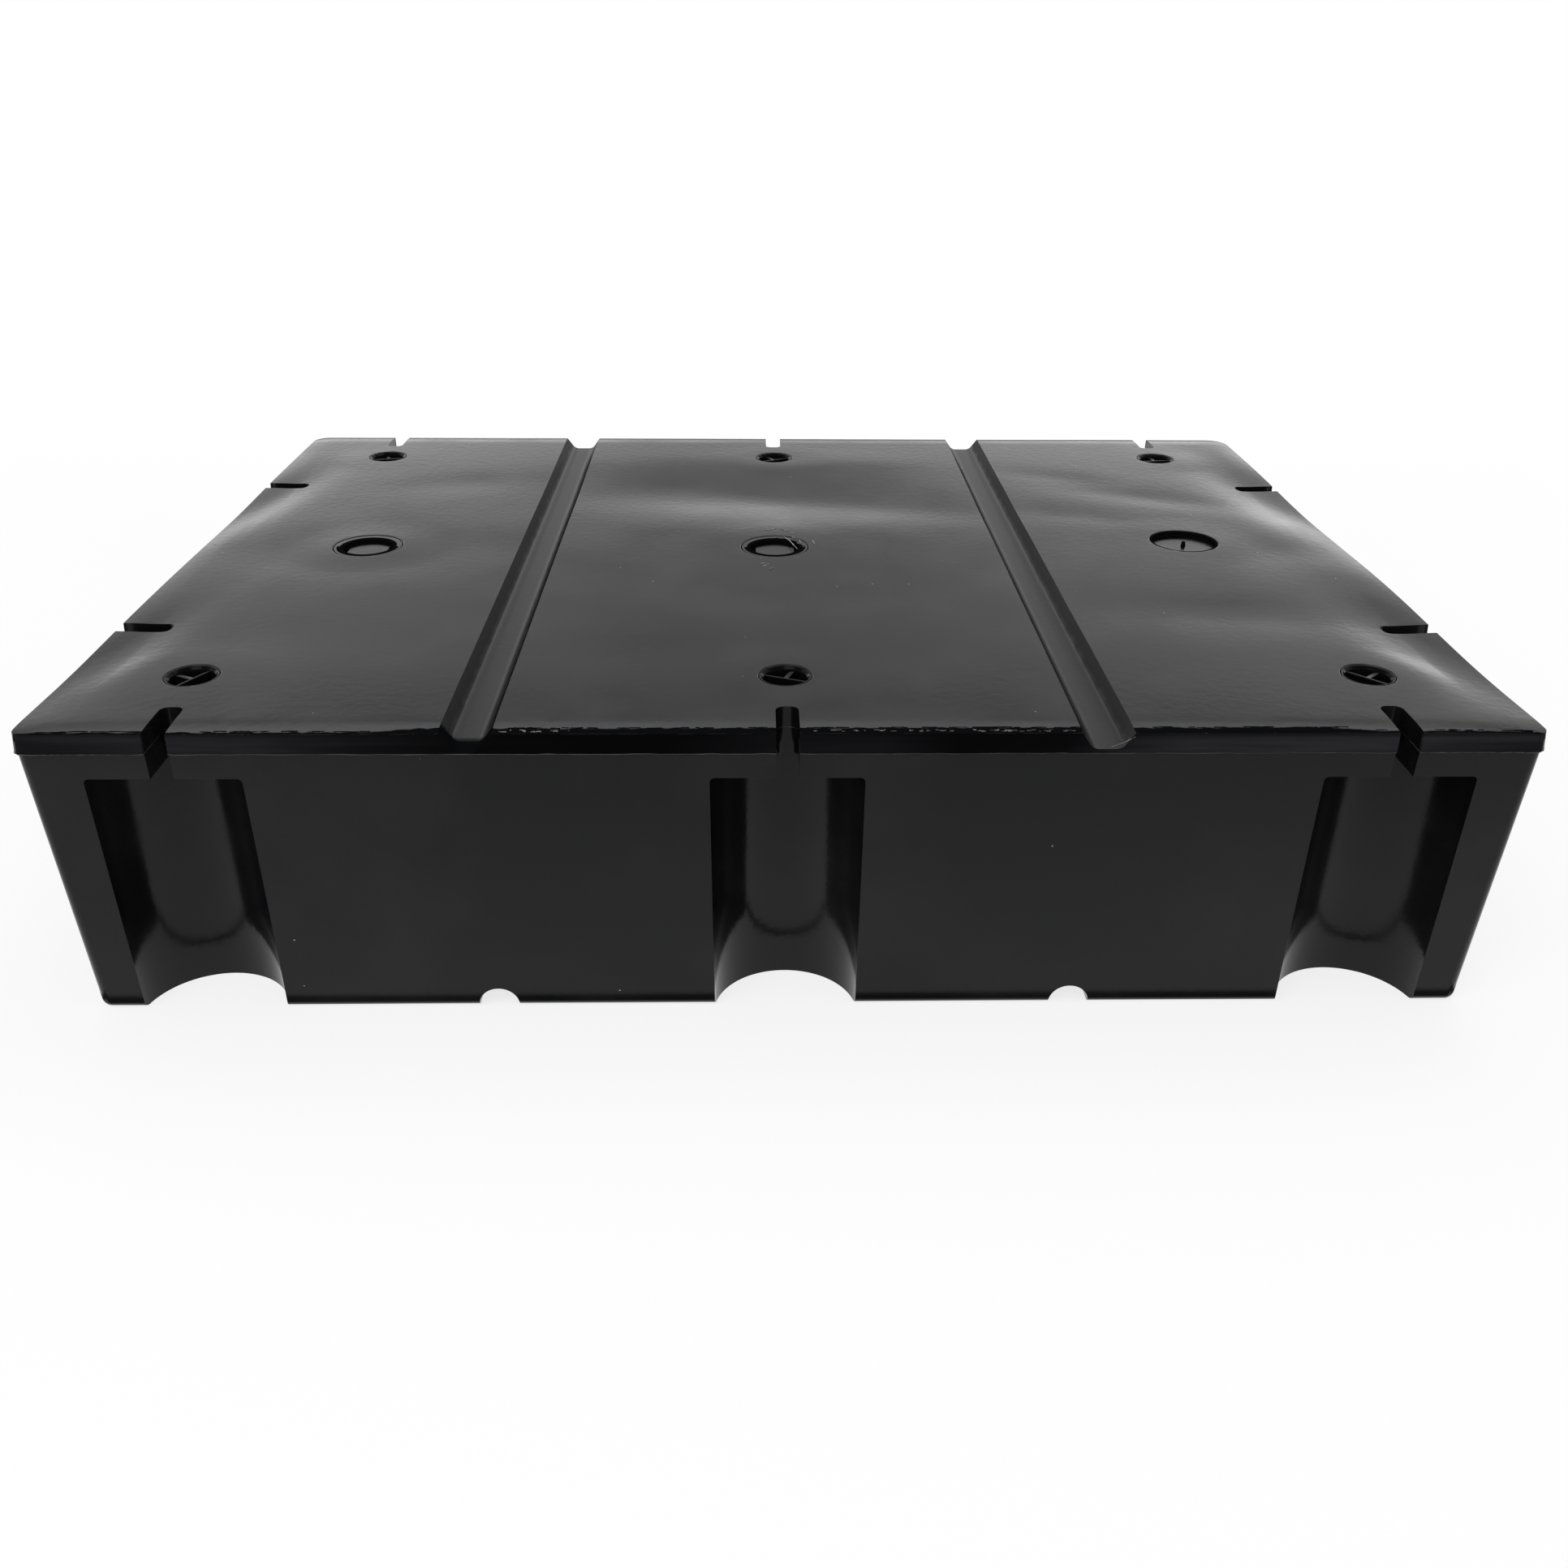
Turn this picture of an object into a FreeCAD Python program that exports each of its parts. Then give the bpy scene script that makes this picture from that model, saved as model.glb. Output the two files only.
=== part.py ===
import FreeCAD, Part
import math
import os

# A flat box float for docks: one moulded drum, closed by nine round plugs.
# All sizes are in millimetres. X runs along the long side, -Y is the front and Z is up.
# The origin is the middle of the flat base.

# The drum as a whole
DRUM_LENGTH = 1220.0
DRUM_DEPTH = 914.0
DRUM_HEIGHT = 272.0

# The rim above the seam, and the walls below it
RIM_HEIGHT = 19.0
RIM_OVERHANG = 2.0
RIM_TOP_RADIUS = 3.5
FRONT_LEFT_CORNER_RADIUS = 11.0
FRONT_RIGHT_CORNER_RADIUS = 11.0
BACK_LEFT_CORNER_RADIUS = 17.0
BACK_RIGHT_CORNER_RADIUS = 25.0
WALL_CORNER_EXTRA = 1.0
WALL_DRAFT_DEG = 2.4
BASE_EDGE_RADIUS = 6.0

# Open mounting slots, cut down through the rim into the pockets
SLOT_WIDTH = 19.0
SLOT_LENGTH = 50.0
SLOT_END_FLAT = 5.0
SLOT_EDGE_BREAK = 2.5
LONG_SIDE_SLOT_INSET = 114.0
SHORT_SIDE_SLOT_INSET = 228.0

# Half-round pockets under the slots, open at the wall and at the base
POCKET_RADIUS = 62.5
POCKET_ROOF_DEPTH = 42.0
POCKET_EDGE_BREAK = 2.0

# Grooves over the top and channels under the base, one above the other, from front to back
TOP_GROOVE_INSET = 356.0
TOP_GROOVE_WIDTH = 42.5
TOP_GROOVE_FLOOR = 23.0
TOP_GROOVE_DEPTH = 15.0
TOP_GROOVE_EDGE_BREAK = 2.5
TOP_GROOVE_FLOOR_RADIUS = 9.0
BASE_CHANNEL_INSET = 360.0
BASE_CHANNEL_RADIUS = 17.5
BASE_CHANNEL_RISE = 1.5

# The left groove's front end, which narrows and reaches down to the seam
SPOUT_LENGTH = 22.0
SPOUT_FLOOR = 11.0
SPOUT_FLOOR_RADIUS = 3.0

# Places of the plugs, from the drum's ends and long sides
VENT_END_INSET = 107.0
VENT_FRONT_INSET = 114.0
VENT_BACK_END_INSET = 117.0
VENT_BACK_INSET = 101.0
FILL_LEFT_INSET = 175.0
FILL_CENTRE_SHIFT = -4.0
FILL_RIGHT_INSET = 170.0
FLUSH_PLUG_SHIFT = 20.0

# Large seats, and the plugs that fill them
FILL_SEAT_RADIUS = 36.0
FILL_SEAT_DEPTH = 10.5
FILL_LEDGE_WIDTH = 5.6
FILL_NECK_LENGTH = 15.5
FILL_FLANGE_DROP = 1.0
FILL_FLANGE_DISH = 0.6
FILL_NECK_WALL = 2.5
FILL_TRENCH_DEPTH = 14.0
HEX_FLATS = 43.5
HEX_DROP = 5.5
HEX_EDGE_BREAK = 1.5
FLUSH_LIP_DROP = 0.8
FLUSH_LIP_WIDTH = 2.2
FLUSH_PLATE_THICKNESS = 5.0
FLUSH_NIB_RADIUS = 2.4
FLUSH_NIB_HEIGHT = 4.5

# Small seats, and the cup plugs that fill them
VENT_SEAT_RADIUS = 23.0
VENT_SEAT_DEPTH = 20.0
VENT_LIP_DROP = 0.8
VENT_LIP_WIDTH = 1.4
VENT_FUNNEL = 3.0
VENT_FLOOR_THICKNESS = 4.0
VENT_WEB_THICKNESS = 2.8
VENT_WEB_DROP = 3.5
VENT_RIB_THICKNESS = 4.5

# Fits
SEAT_EDGE_BREAK = 0.8
PLUG_CLEARANCE = 0.35
NECK_END_GAP = 1.0

# How far each plug was turned when it was driven home, in degrees
FILL_LEFT_TURN = 30.0
FILL_CENTRE_TURN = 31.5
VENT_TURNS = {
    "front_left": 62.0,
    "front_centre": -22.0,
    "front_right": -48.0,
    "back_left": 12.0,
    "back_centre": 28.0,
    "back_right": 8.0,
}

# Cutters run past the faces that they open by the overrun, and joined shapes share the sink
OVERRUN = 12.0
SINK = 1.0
FLAT_TOLERANCE = 1e-4

TOP = DRUM_HEIGHT
SEAM_Z = TOP - RIM_HEIGHT
HALF_X = DRUM_LENGTH / 2.0
HALF_Y = DRUM_DEPTH / 2.0
WALL_X = HALF_X - RIM_OVERHANG
WALL_Y = HALF_Y - RIM_OVERHANG
WALL_INSET = SEAM_Z * math.tan(math.radians(WALL_DRAFT_DEG))
GROOVE_X = HALF_X - TOP_GROOVE_INSET
CHANNEL_X = HALF_X - BASE_CHANNEL_INSET
UP = FreeCAD.Vector(0, 0, 1)

# Corner radii of the rim, by the signs of X and Y
CORNER_RADII = {
    (-1, -1): FRONT_LEFT_CORNER_RADIUS,
    (1, -1): FRONT_RIGHT_CORNER_RADIUS,
    (-1, 1): BACK_LEFT_CORNER_RADIUS,
    (1, 1): BACK_RIGHT_CORNER_RADIUS,
}


def vec(x, y, z):
    return FreeCAD.Vector(x, y, z)


def polygon(points):
    return Part.makePolygon(points + points[:1])


def prism(points, direction):
    """A polygon pushed along one direction."""
    return Part.Face(polygon(points)).extrude(direction)


def rounded_wire(points, radii):
    """A closed outline of straight runs, with an arc at each corner that has a radius."""
    enters, middles, leaves = [], [], []
    for index, corner in enumerate(points):
        back = (points[index - 1] - corner).normalize()
        ahead = (points[(index + 1) % len(points)] - corner).normalize()
        half_angle = back.getAngle(ahead) / 2.0
        run = radii[index] / math.tan(half_angle)
        inward = (back + ahead).normalize()
        enters.append(corner + back * run)
        leaves.append(corner + ahead * run)
        middles.append(corner + inward * (radii[index] / math.sin(half_angle) - radii[index]))
    edges = []
    for index, radius in enumerate(radii):
        edges.append(Part.LineSegment(leaves[index - 1], enters[index]).toShape())
        if radius > 0.0:
            edges.append(Part.Arc(enters[index], middles[index], leaves[index]).toShape())
    return Part.Wire(edges)


def rectangle(half_x, half_y, z):
    front = [vec(-half_x, -half_y, z), vec(half_x, -half_y, z)]
    back = [vec(half_x, half_y, z), vec(-half_x, half_y, z)]
    return polygon(front + back)


def edges_at(shape, z):
    """Edges that lie flat at one height."""
    edges = [e for e in shape.Edges if e.BoundBox.ZLength < FLAT_TOLERANCE]
    return [e for e in edges if abs(e.BoundBox.ZMin - z) < FLAT_TOLERANCE]


def round_corners(block, extra):
    """Each upright corner gets its own radius, plus an extra that all four share."""
    for (sign_x, sign_y), radius in CORNER_RADII.items():
        edges = [e for e in block.Edges if e.CenterOfMass.x * sign_x > 0 and e.CenterOfMass.y * sign_y > 0]
        upright = [e for e in edges if abs(e.Vertexes[0].Z - e.Vertexes[-1].Z) > FLAT_TOLERANCE]
        block = block.makeFillet(radius + extra, upright)
    return block


# The drum's block, before anything is cut out of it


def wall_block():
    """The box under the seam, which narrows towards the base."""
    base = rectangle(WALL_X - WALL_INSET, WALL_Y - WALL_INSET, 0.0)
    block = Part.makeLoft([base, rectangle(WALL_X, WALL_Y, SEAM_Z)], True, True)
    block = round_corners(block, WALL_CORNER_EXTRA)
    return block.makeFillet(BASE_EDGE_RADIUS, edges_at(block, 0.0))


def rim_block():
    """The band above the seam and the top sheet that it carries."""
    block = Part.makeBox(DRUM_LENGTH, DRUM_DEPTH, RIM_HEIGHT, vec(-HALF_X, -HALF_Y, SEAM_Z))
    block = round_corners(block, 0.0)
    return block.makeFillet(RIM_TOP_RADIUS, edges_at(block, TOP))


# Slots and pockets, drawn at the origin with the rim's face on Y = 0 and the drum behind it


def slot_outline(half, length, z):
    """A slot that is open in front and has a flat inner end between two rounded corners."""
    points = [vec(-half, -OVERRUN, z), vec(half, -OVERRUN, z), vec(half, length, z), vec(-half, length, z)]
    radius = half - SLOT_END_FLAT / 2.0
    return rounded_wire(points, [0.0, 0.0, radius, radius])


def slot_cutter():
    """The slot, its broken top edge and its flared mouth in the rim's face."""
    half = SLOT_WIDTH / 2.0
    grow = SLOT_EDGE_BREAK
    wide = half + 2.0 * grow
    roof = TOP - POCKET_ROOF_DEPTH - SINK
    rise = UP * (TOP + OVERRUN - roof)
    slot = Part.Face(slot_outline(half, SLOT_LENGTH, roof)).extrude(rise)
    low = slot_outline(half, SLOT_LENGTH, TOP - grow)
    high = slot_outline(wide, SLOT_LENGTH + 2.0 * grow, TOP + grow)
    top_break = Part.makeLoft([low, high], True, True)
    face_line = [vec(-wide, -grow, roof), vec(wide, -grow, roof)]
    inner_line = [vec(half, grow, roof), vec(-half, grow, roof)]
    return slot.fuse([top_break, prism(face_line + inner_line, rise)])


def pocket_mouth(z):
    """A strip along the drafted wall that breaks the pocket's upright edges."""
    lean = math.tan(math.radians(WALL_DRAFT_DEG))
    wall_y = RIM_OVERHANG + (SEAM_Z - z) * lean
    wide = POCKET_RADIUS + POCKET_EDGE_BREAK
    narrow = POCKET_RADIUS - POCKET_EDGE_BREAK
    front = wall_y - POCKET_EDGE_BREAK
    back = wall_y + POCKET_EDGE_BREAK
    return polygon([vec(-wide, front, z), vec(wide, front, z), vec(narrow, back, z), vec(-narrow, back, z)])


def pocket_cutter():
    """An upright half-round recess, with its axis on the wall's face at the seam."""
    roof = TOP - POCKET_ROOF_DEPTH
    recess = Part.makeCylinder(POCKET_RADIUS, roof + OVERRUN, vec(0, RIM_OVERHANG, -OVERRUN), UP)
    return recess.fuse(Part.makeLoft([pocket_mouth(-OVERRUN), pocket_mouth(roof)], True, True))


def side_places():
    """Turn and shift of each slot and its pocket: three on each long side, two on each short side."""
    long_side_x = HALF_X - LONG_SIDE_SLOT_INSET
    short_side_y = HALF_Y - SHORT_SIDE_SLOT_INSET
    places = []
    for x in (-long_side_x, 0.0, long_side_x):
        places.append((0.0, vec(x, -HALF_Y, 0)))
        places.append((180.0, vec(x, HALF_Y, 0)))
    for y in (-short_side_y, short_side_y):
        places.append((-90.0, vec(-HALF_X, y, 0)))
        places.append((90.0, vec(HALF_X, y, 0)))
    return places


def at_side(shape, turn, shift):
    placed_shape = shape.copy()
    placed_shape.rotate(vec(0, 0, 0), UP, turn)
    placed_shape.translate(shift)
    return placed_shape


# Grooves and channels, drawn on X = 0


def groove_section(floor, depth, floor_radius, y):
    """A trapezoid with broken edges and a rounded floor, closed above the sheet."""
    half_top = TOP_GROOVE_WIDTH / 2.0
    half_floor = floor / 2.0
    grow = TOP_GROOVE_EDGE_BREAK
    flank_x = half_top - grow * (half_top - half_floor) / depth
    right = [vec(half_floor, y, TOP - depth), vec(flank_x, y, TOP - grow), vec(half_top + grow, y, TOP),
             vec(half_top + grow, y, TOP + OVERRUN)]
    left = [vec(-p.x, p.y, p.z) for p in reversed(right)]
    return rounded_wire(left + right, [0.0, 0.0, 0.0, floor_radius, floor_radius, 0.0, 0.0, 0.0])


def top_groove(front_y):
    """The groove from one depth to past the back of the drum."""
    section = groove_section(TOP_GROOVE_FLOOR, TOP_GROOVE_DEPTH, TOP_GROOVE_FLOOR_RADIUS, front_y)
    return Part.Face(section).extrude(vec(0, HALF_Y + OVERRUN - front_y, 0))


def spouted_groove():
    """A groove whose front end narrows and goes down to the seam."""
    inner_y = -HALF_Y + SPOUT_LENGTH
    face = groove_section(SPOUT_FLOOR, RIM_HEIGHT, SPOUT_FLOOR_RADIUS, -HALF_Y - SINK)
    inner = groove_section(TOP_GROOVE_FLOOR, TOP_GROOVE_DEPTH, TOP_GROOVE_FLOOR_RADIUS, inner_y)
    return top_groove(inner_y).fuse(Part.makeLoft([face, inner], True, True))


def base_channel():
    length = DRUM_DEPTH + 2.0 * OVERRUN
    front_y = -HALF_Y - OVERRUN
    radius = BASE_CHANNEL_RADIUS
    arch = Part.makeCylinder(radius, length, vec(0, front_y, BASE_CHANNEL_RISE), vec(0, 1, 0))
    foot = Part.makeBox(2.0 * radius, length, BASE_CHANNEL_RISE + OVERRUN, vec(-radius, front_y, -OVERRUN))
    return arch.fuse(foot)


# Seats


def seat_cutter(radius, depth):
    """A round seat with a broken edge."""
    grow = SEAT_EDGE_BREAK
    seat = Part.makeCylinder(radius, depth + OVERRUN, vec(0, 0, TOP - depth), UP)
    edge = Part.makeCone(radius - grow, radius + 2.0 * grow, 3.0 * grow, vec(0, 0, TOP - 2.0 * grow), UP)
    return seat.fuse(edge)


def fill_seat_cutter():
    """A large seat, with the bore under its ledge."""
    depth = FILL_SEAT_DEPTH + FILL_NECK_LENGTH
    bore = Part.makeCylinder(FILL_SEAT_RADIUS - FILL_LEDGE_WIDTH, depth, vec(0, 0, TOP - depth), UP)
    return seat_cutter(FILL_SEAT_RADIUS, FILL_SEAT_DEPTH).fuse(bore)


def fill_places():
    return {
        "left": vec(-HALF_X + FILL_LEFT_INSET, 0, 0),
        "centre": vec(FILL_CENTRE_SHIFT, 0, 0),
        "right": vec(HALF_X - FILL_RIGHT_INSET, FLUSH_PLUG_SHIFT, 0),
    }


def vent_places():
    front_x, front_y = HALF_X - VENT_END_INSET, -HALF_Y + VENT_FRONT_INSET
    back_x, back_y = HALF_X - VENT_BACK_END_INSET, HALF_Y - VENT_BACK_INSET
    places = {}
    for row, x, y in (("front", front_x, front_y), ("back", back_x, back_y)):
        for column, side in (("left", -1), ("centre", 0), ("right", 1)):
            places[row + "_" + column] = vec(side * x, y, 0)
    return places


def placed(shape, place):
    shape.translate(place)
    return shape


def drum_body():
    body = wall_block().fuse(rim_block()).removeSplitter()
    cutters = []
    for turn, shift in side_places():
        cutters.append(at_side(slot_cutter(), turn, shift))
        cutters.append(at_side(pocket_cutter(), turn, shift))
    cutters.append(placed(spouted_groove(), vec(-GROOVE_X, 0, 0)))
    cutters.append(placed(top_groove(-HALF_Y - OVERRUN), vec(GROOVE_X, 0, 0)))
    for side in (-1, 1):
        cutters.append(placed(base_channel(), vec(side * CHANNEL_X, 0, 0)))
    for place in fill_places().values():
        cutters.append(placed(fill_seat_cutter(), place))
    for place in vent_places().values():
        cutters.append(placed(seat_cutter(VENT_SEAT_RADIUS, VENT_SEAT_DEPTH), place))
    return body.cut(cutters)


# Plugs, drawn on the origin's axis at their real height


def turned(points):
    """A solid of revolution about Z from radius and height pairs."""
    return Part.Face(polygon([vec(r, 0, z) for r, z in points])).revolve(vec(0, 0, 0), UP, 360)


def fill_neck():
    """Radius and height pairs of the neck and the flange's underside, which both large plugs share."""
    neck_r = FILL_SEAT_RADIUS - FILL_LEDGE_WIDTH - PLUG_CLEARANCE
    flange_r = FILL_SEAT_RADIUS - PLUG_CLEARANCE
    seat_z = TOP - FILL_SEAT_DEPTH
    neck_z = seat_z - FILL_NECK_LENGTH + NECK_END_GAP
    return [(0, neck_z), (neck_r, neck_z), (neck_r, seat_z), (flange_r, seat_z)]


def hex_plug(turn):
    """A fill plug: a dished flange, a trench and a hexagonal head in the middle."""
    neck = fill_neck()
    trench_r = neck[1][0] - FILL_NECK_WALL
    flange_r = neck[3][0]
    flange_z = TOP - FILL_FLANGE_DROP
    trench_z = TOP - FILL_TRENCH_DEPTH
    dish_z = flange_z - FILL_FLANGE_DISH
    face = [(flange_r, flange_z), (trench_r, dish_z), (trench_r, trench_z), (0, trench_z)]
    foot_z = trench_z - SINK
    corner_r = HEX_FLATS / 2.0 / math.cos(math.radians(30))
    angles = [math.radians(60 * side) for side in range(6)]
    ring = [vec(corner_r * math.cos(angle), corner_r * math.sin(angle), foot_z) for angle in angles]
    head_z = TOP - HEX_DROP
    head = prism(ring, UP * (head_z - foot_z))
    head = head.makeChamfer(HEX_EDGE_BREAK, edges_at(head, head_z))
    plug = turned(neck + face).fuse(head).removeSplitter()
    plug.rotate(vec(0, 0, 0), UP, turn)
    return plug


def flush_plug():
    """The large plug with a flat sunk face and a moulding nib in its middle."""
    neck = fill_neck()
    flange_r = neck[3][0]
    lip_z = TOP - FLUSH_LIP_DROP
    face_r = flange_r - FLUSH_LIP_WIDTH
    face_z = TOP - FILL_SEAT_DEPTH + FLUSH_PLATE_THICKNESS
    nib_z = face_z + FLUSH_NIB_HEIGHT
    lip = [(flange_r, lip_z), (face_r, lip_z), (face_r, face_z)]
    nib = [(FLUSH_NIB_RADIUS, face_z), (FLUSH_NIB_RADIUS, nib_z), (0, nib_z)]
    return turned(neck + lip + nib)


def vent_plug(turn):
    """A small cup plug: a lip, a funnel and a cup, with a web across it and one rib to the wall."""
    outer_r = VENT_SEAT_RADIUS - PLUG_CLEARANCE
    mouth_r = outer_r - VENT_LIP_WIDTH
    cup_r = mouth_r - VENT_FUNNEL
    end_z = TOP - VENT_SEAT_DEPTH
    lip_z = TOP - VENT_LIP_DROP
    floor_z = end_z + VENT_FLOOR_THICKNESS
    cup = turned([(0, end_z), (outer_r, end_z), (outer_r, lip_z), (mouth_r, lip_z),
                  (cup_r, lip_z - VENT_FUNNEL), (cup_r, floor_z), (0, floor_z)])
    foot_z = floor_z - SINK
    height = TOP - VENT_WEB_DROP - foot_z
    web_corner = vec(-mouth_r, -VENT_WEB_THICKNESS / 2.0, foot_z)
    web = Part.makeBox(2.0 * mouth_r, VENT_WEB_THICKNESS, height, web_corner)
    rib = Part.makeBox(VENT_RIB_THICKNESS, mouth_r, height, vec(-VENT_RIB_THICKNESS / 2.0, 0, foot_z))
    within = Part.makeCylinder(mouth_r, height, vec(0, 0, foot_z), UP)
    plug = cup.fuse(web.fuse(rib).common(within)).removeSplitter()
    plug.rotate(vec(0, 0, 0), UP, turn)
    return plug


def main():
    fills = fill_places()
    nodes = {
        "drum_body": drum_body(),
        "fill_plug_left": placed(hex_plug(FILL_LEFT_TURN), fills["left"]),
        "fill_plug_centre": placed(hex_plug(FILL_CENTRE_TURN), fills["centre"]),
        "fill_plug_right": placed(flush_plug(), fills["right"]),
    }
    for place_name, place in vent_places().items():
        nodes["vent_plug_" + place_name] = placed(vent_plug(VENT_TURNS[place_name]), place)
    os.makedirs("parts", exist_ok=True)
    for name, shape in nodes.items():
        solids = shape.Solids
        piece = solids[0] if len(solids) == 1 else shape
        piece.exportStep("parts/" + name + ".step")
        volume_cm3 = round(piece.Volume / 1000.0, 1)
        print(name, "solids", len(solids), "valid", piece.isValid(), "volume cm3", volume_cm3)


main()
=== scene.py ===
import math
import random

import bmesh
import bpy
from bpy.props import FloatProperty, FloatVectorProperty, IntProperty, PointerProperty
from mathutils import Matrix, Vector, noise


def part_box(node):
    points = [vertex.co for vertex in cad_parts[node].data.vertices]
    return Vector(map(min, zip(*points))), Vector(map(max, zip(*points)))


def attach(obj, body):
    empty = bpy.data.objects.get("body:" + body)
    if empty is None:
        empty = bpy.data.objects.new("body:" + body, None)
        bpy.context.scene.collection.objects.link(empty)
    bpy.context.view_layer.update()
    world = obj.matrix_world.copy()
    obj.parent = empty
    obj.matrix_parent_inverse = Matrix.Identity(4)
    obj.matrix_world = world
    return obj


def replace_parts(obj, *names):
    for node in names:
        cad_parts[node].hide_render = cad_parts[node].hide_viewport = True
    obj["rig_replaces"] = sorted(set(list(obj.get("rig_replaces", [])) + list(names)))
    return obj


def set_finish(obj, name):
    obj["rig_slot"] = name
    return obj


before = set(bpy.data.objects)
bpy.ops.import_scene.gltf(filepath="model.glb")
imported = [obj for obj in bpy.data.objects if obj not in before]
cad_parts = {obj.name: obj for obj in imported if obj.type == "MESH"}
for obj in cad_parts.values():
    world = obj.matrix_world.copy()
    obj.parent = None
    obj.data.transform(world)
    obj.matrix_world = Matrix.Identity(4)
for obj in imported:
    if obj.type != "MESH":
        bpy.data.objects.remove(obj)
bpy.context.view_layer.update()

bl_info = {
    "name": "Dock float drum",
    "version": (1, 0, 0),
    "blender": (4, 5, 0),
    "location": "View3D > Sidebar > Float drum",
    "description": "Models the moulded shell of a dock float drum, its plugs and its studio",
    "category": "Add Mesh",
}

# Places that the frame gives, in metres
HALF_X, HALF_Y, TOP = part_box("drum_body")[1]

# The plugs, and how far each is turned about its own axis in degrees
HEX_TURNS = {"fill_plug_left": 30.0, "fill_plug_centre": 31.5}
FLUSH_PLUG = "fill_plug_right"
VENT_TURNS = {
    "vent_plug_front_left": 62.0,
    "vent_plug_front_centre": -22.0,
    "vent_plug_front_right": -48.0,
    "vent_plug_back_left": 12.0,
    "vent_plug_back_centre": 28.0,
    "vent_plug_back_right": 8.0,
}

# Cutters run past the faces that they open by the overrun, and joined shapes share the sink
OVERRUN = 0.012
SINK = 0.001
HAIR = 0.0001

# Dips of the sheet: place, reach both ways, turn in degrees and depth
SHEET_DIPS = (
    (-0.045, 0.204, 0.165, 0.090, -3.0, 0.0045),
    (0.050, 0.150, 0.090, 0.055, -8.0, 0.0013),
    (0.030, 0.335, 0.130, 0.050, 0.0, -0.0008),
    (0.170, 0.135, 0.090, 0.050, -16.0, 0.0009),
    (-0.375, 0.235, 0.070, 0.040, 10.0, 0.0005),
    (-0.440, -0.020, 0.130, 0.070, 5.0, 0.0013),
    (-0.450, -0.250, 0.100, 0.060, 0.0, 0.0008),
    (0.350, 0.265, 0.080, 0.028, -26.0, 0.0005),
    (0.430, 0.185, 0.100, 0.028, -24.0, 0.0007),
    (0.345, 0.110, 0.080, 0.028, -18.0, 0.0004),
    (0.530, -0.010, 0.075, 0.050, -8.0, 0.0010),
    (0.430, -0.195, 0.120, 0.050, -4.0, 0.0019),
    (0.060, -0.110, 0.120, 0.070, 8.0, 0.0007),
    (-0.110, -0.290, 0.120, 0.050, 0.0, 0.0006),
)

# Valleys in front of the side slots: from the drum's end, ahead of the slot, reach and depth
FRONT_VALLEY = (0.024, 0.068, 0.120, 0.0029)
BACK_VALLEY = (0.018, 0.085, 0.140, 0.0026)

# The valleys' width at each end of the drum, how much longer and deeper they are there, and their turn
VALLEY_ENDS = ((-1.0, 0.030, 0.0, 0.0), (1.0, 0.041, 0.020, 0.0018))
VALLEY_TURN = 11.0

# Height of the sheet's faint ripple, and how far from a plug the sheet starts to give and gives fully
RIPPLE = 0.0004
STIFF_GAP, STIFF_REACH = 0.004, 0.045

# Place along the rim, from end to end, and how pale the band's painted reflection is there
RIM_PAINTED_REFLECTION = ((0.0, 0.55), (0.15, 0.60), (0.22, 0.30), (0.30, 0.03), (0.42, 0.0), (0.50, 0.20), (0.56, 0.20),
              (0.61, 0.02), (0.68, 0.06), (0.76, 0.80), (0.86, 0.95), (1.0, 0.65))

# Torn threads on and beside the middle plug, as points across from its middle and along the drum's depth
PLUG_THREADS = (
    ((0.010, 0.033), (0.016, 0.021), (0.020, 0.006), (0.024, -0.009)),
    ((0.016, 0.036), (0.027, 0.021), (0.028, 0.013)),
    ((-0.018, -0.059), (-0.011, -0.052)), ((-0.013, -0.064), (-0.007, -0.056)),
    ((-0.007, -0.071), (-0.002, -0.069)), ((-0.010, 0.055), (0.002, 0.061)),
    ((0.008, 0.059), (0.024, 0.042)), ((0.0, 0.0305), (0.004, 0.0315)),
    ((0.024, 0.012), (0.033, 0.004)), ((0.041, 0.020), (0.043, 0.010)),
)

# The scraped strip along the front edge: its width at the ends and in the middle, and where it changes
STRIP_ENDS, STRIP_MIDDLE = 0.0035, 0.0092
STRIP_LEFT, STRIP_RIGHT = (-0.33, -0.29), (0.43, 0.47)

# How far in the dashes along that strip lie at the ends and in the middle, and where the middle is
DASH_ENDS, DASH_MIDDLE = 0.0036, 0.0088
DASH_LEFT, DASH_RIGHT = -0.30, 0.44

# Stretches of the front edge: how many scraps lie there, and from where to where
CRUMB_STRETCHES = ((16, -0.228, -0.172), (52, 0.020, 0.228))
DASH_STRETCHES = ((16, -0.590, -0.512), (30, -0.470, -0.275), (34, -0.232, -0.014),
                  (36, 0.014, 0.226), (30, 0.275, 0.470), (14, 0.512, 0.590))

# The seam's ridge: cells in a metre, its usual radius and the change of that, as shares, and its waver
RIDGE_CELLS = 900.0
RIDGE_RADIUS, RIDGE_CHANGE = 0.55, 0.30
RIDGE_WAVER = 0.0003

# The room as the sheet mirrors it: degrees above the horizon, and its tone ahead and at the sides
ROOM_TONES = ((0.0, 0.03, 0.05), (5.5, 0.04, 0.06), (8.5, 0.52, 0.95), (11.5, 0.54, 0.88), (14.5, 0.28, 0.46),
              (17.5, 0.17, 0.29), (20.0, 0.18, 0.32), (22.0, 0.27, 0.37), (23.5, 0.21, 0.30),
              (25.0, 0.17, 0.15), (26.5, 0.16, 0.10), (29.0, 0.42, 0.42), (34.0, 0.65, 0.65),
              (40.0, 0.22, 0.22), (90.0, 0.14, 0.14))


def plug_place(node):
    """Centre and radius of a plug, as the frame has it."""
    low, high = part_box(node)
    return Vector(((low.x + high.x) / 2.0, (low.y + high.y) / 2.0, 0.0)), (high.x - low.x) / 2.0


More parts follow.
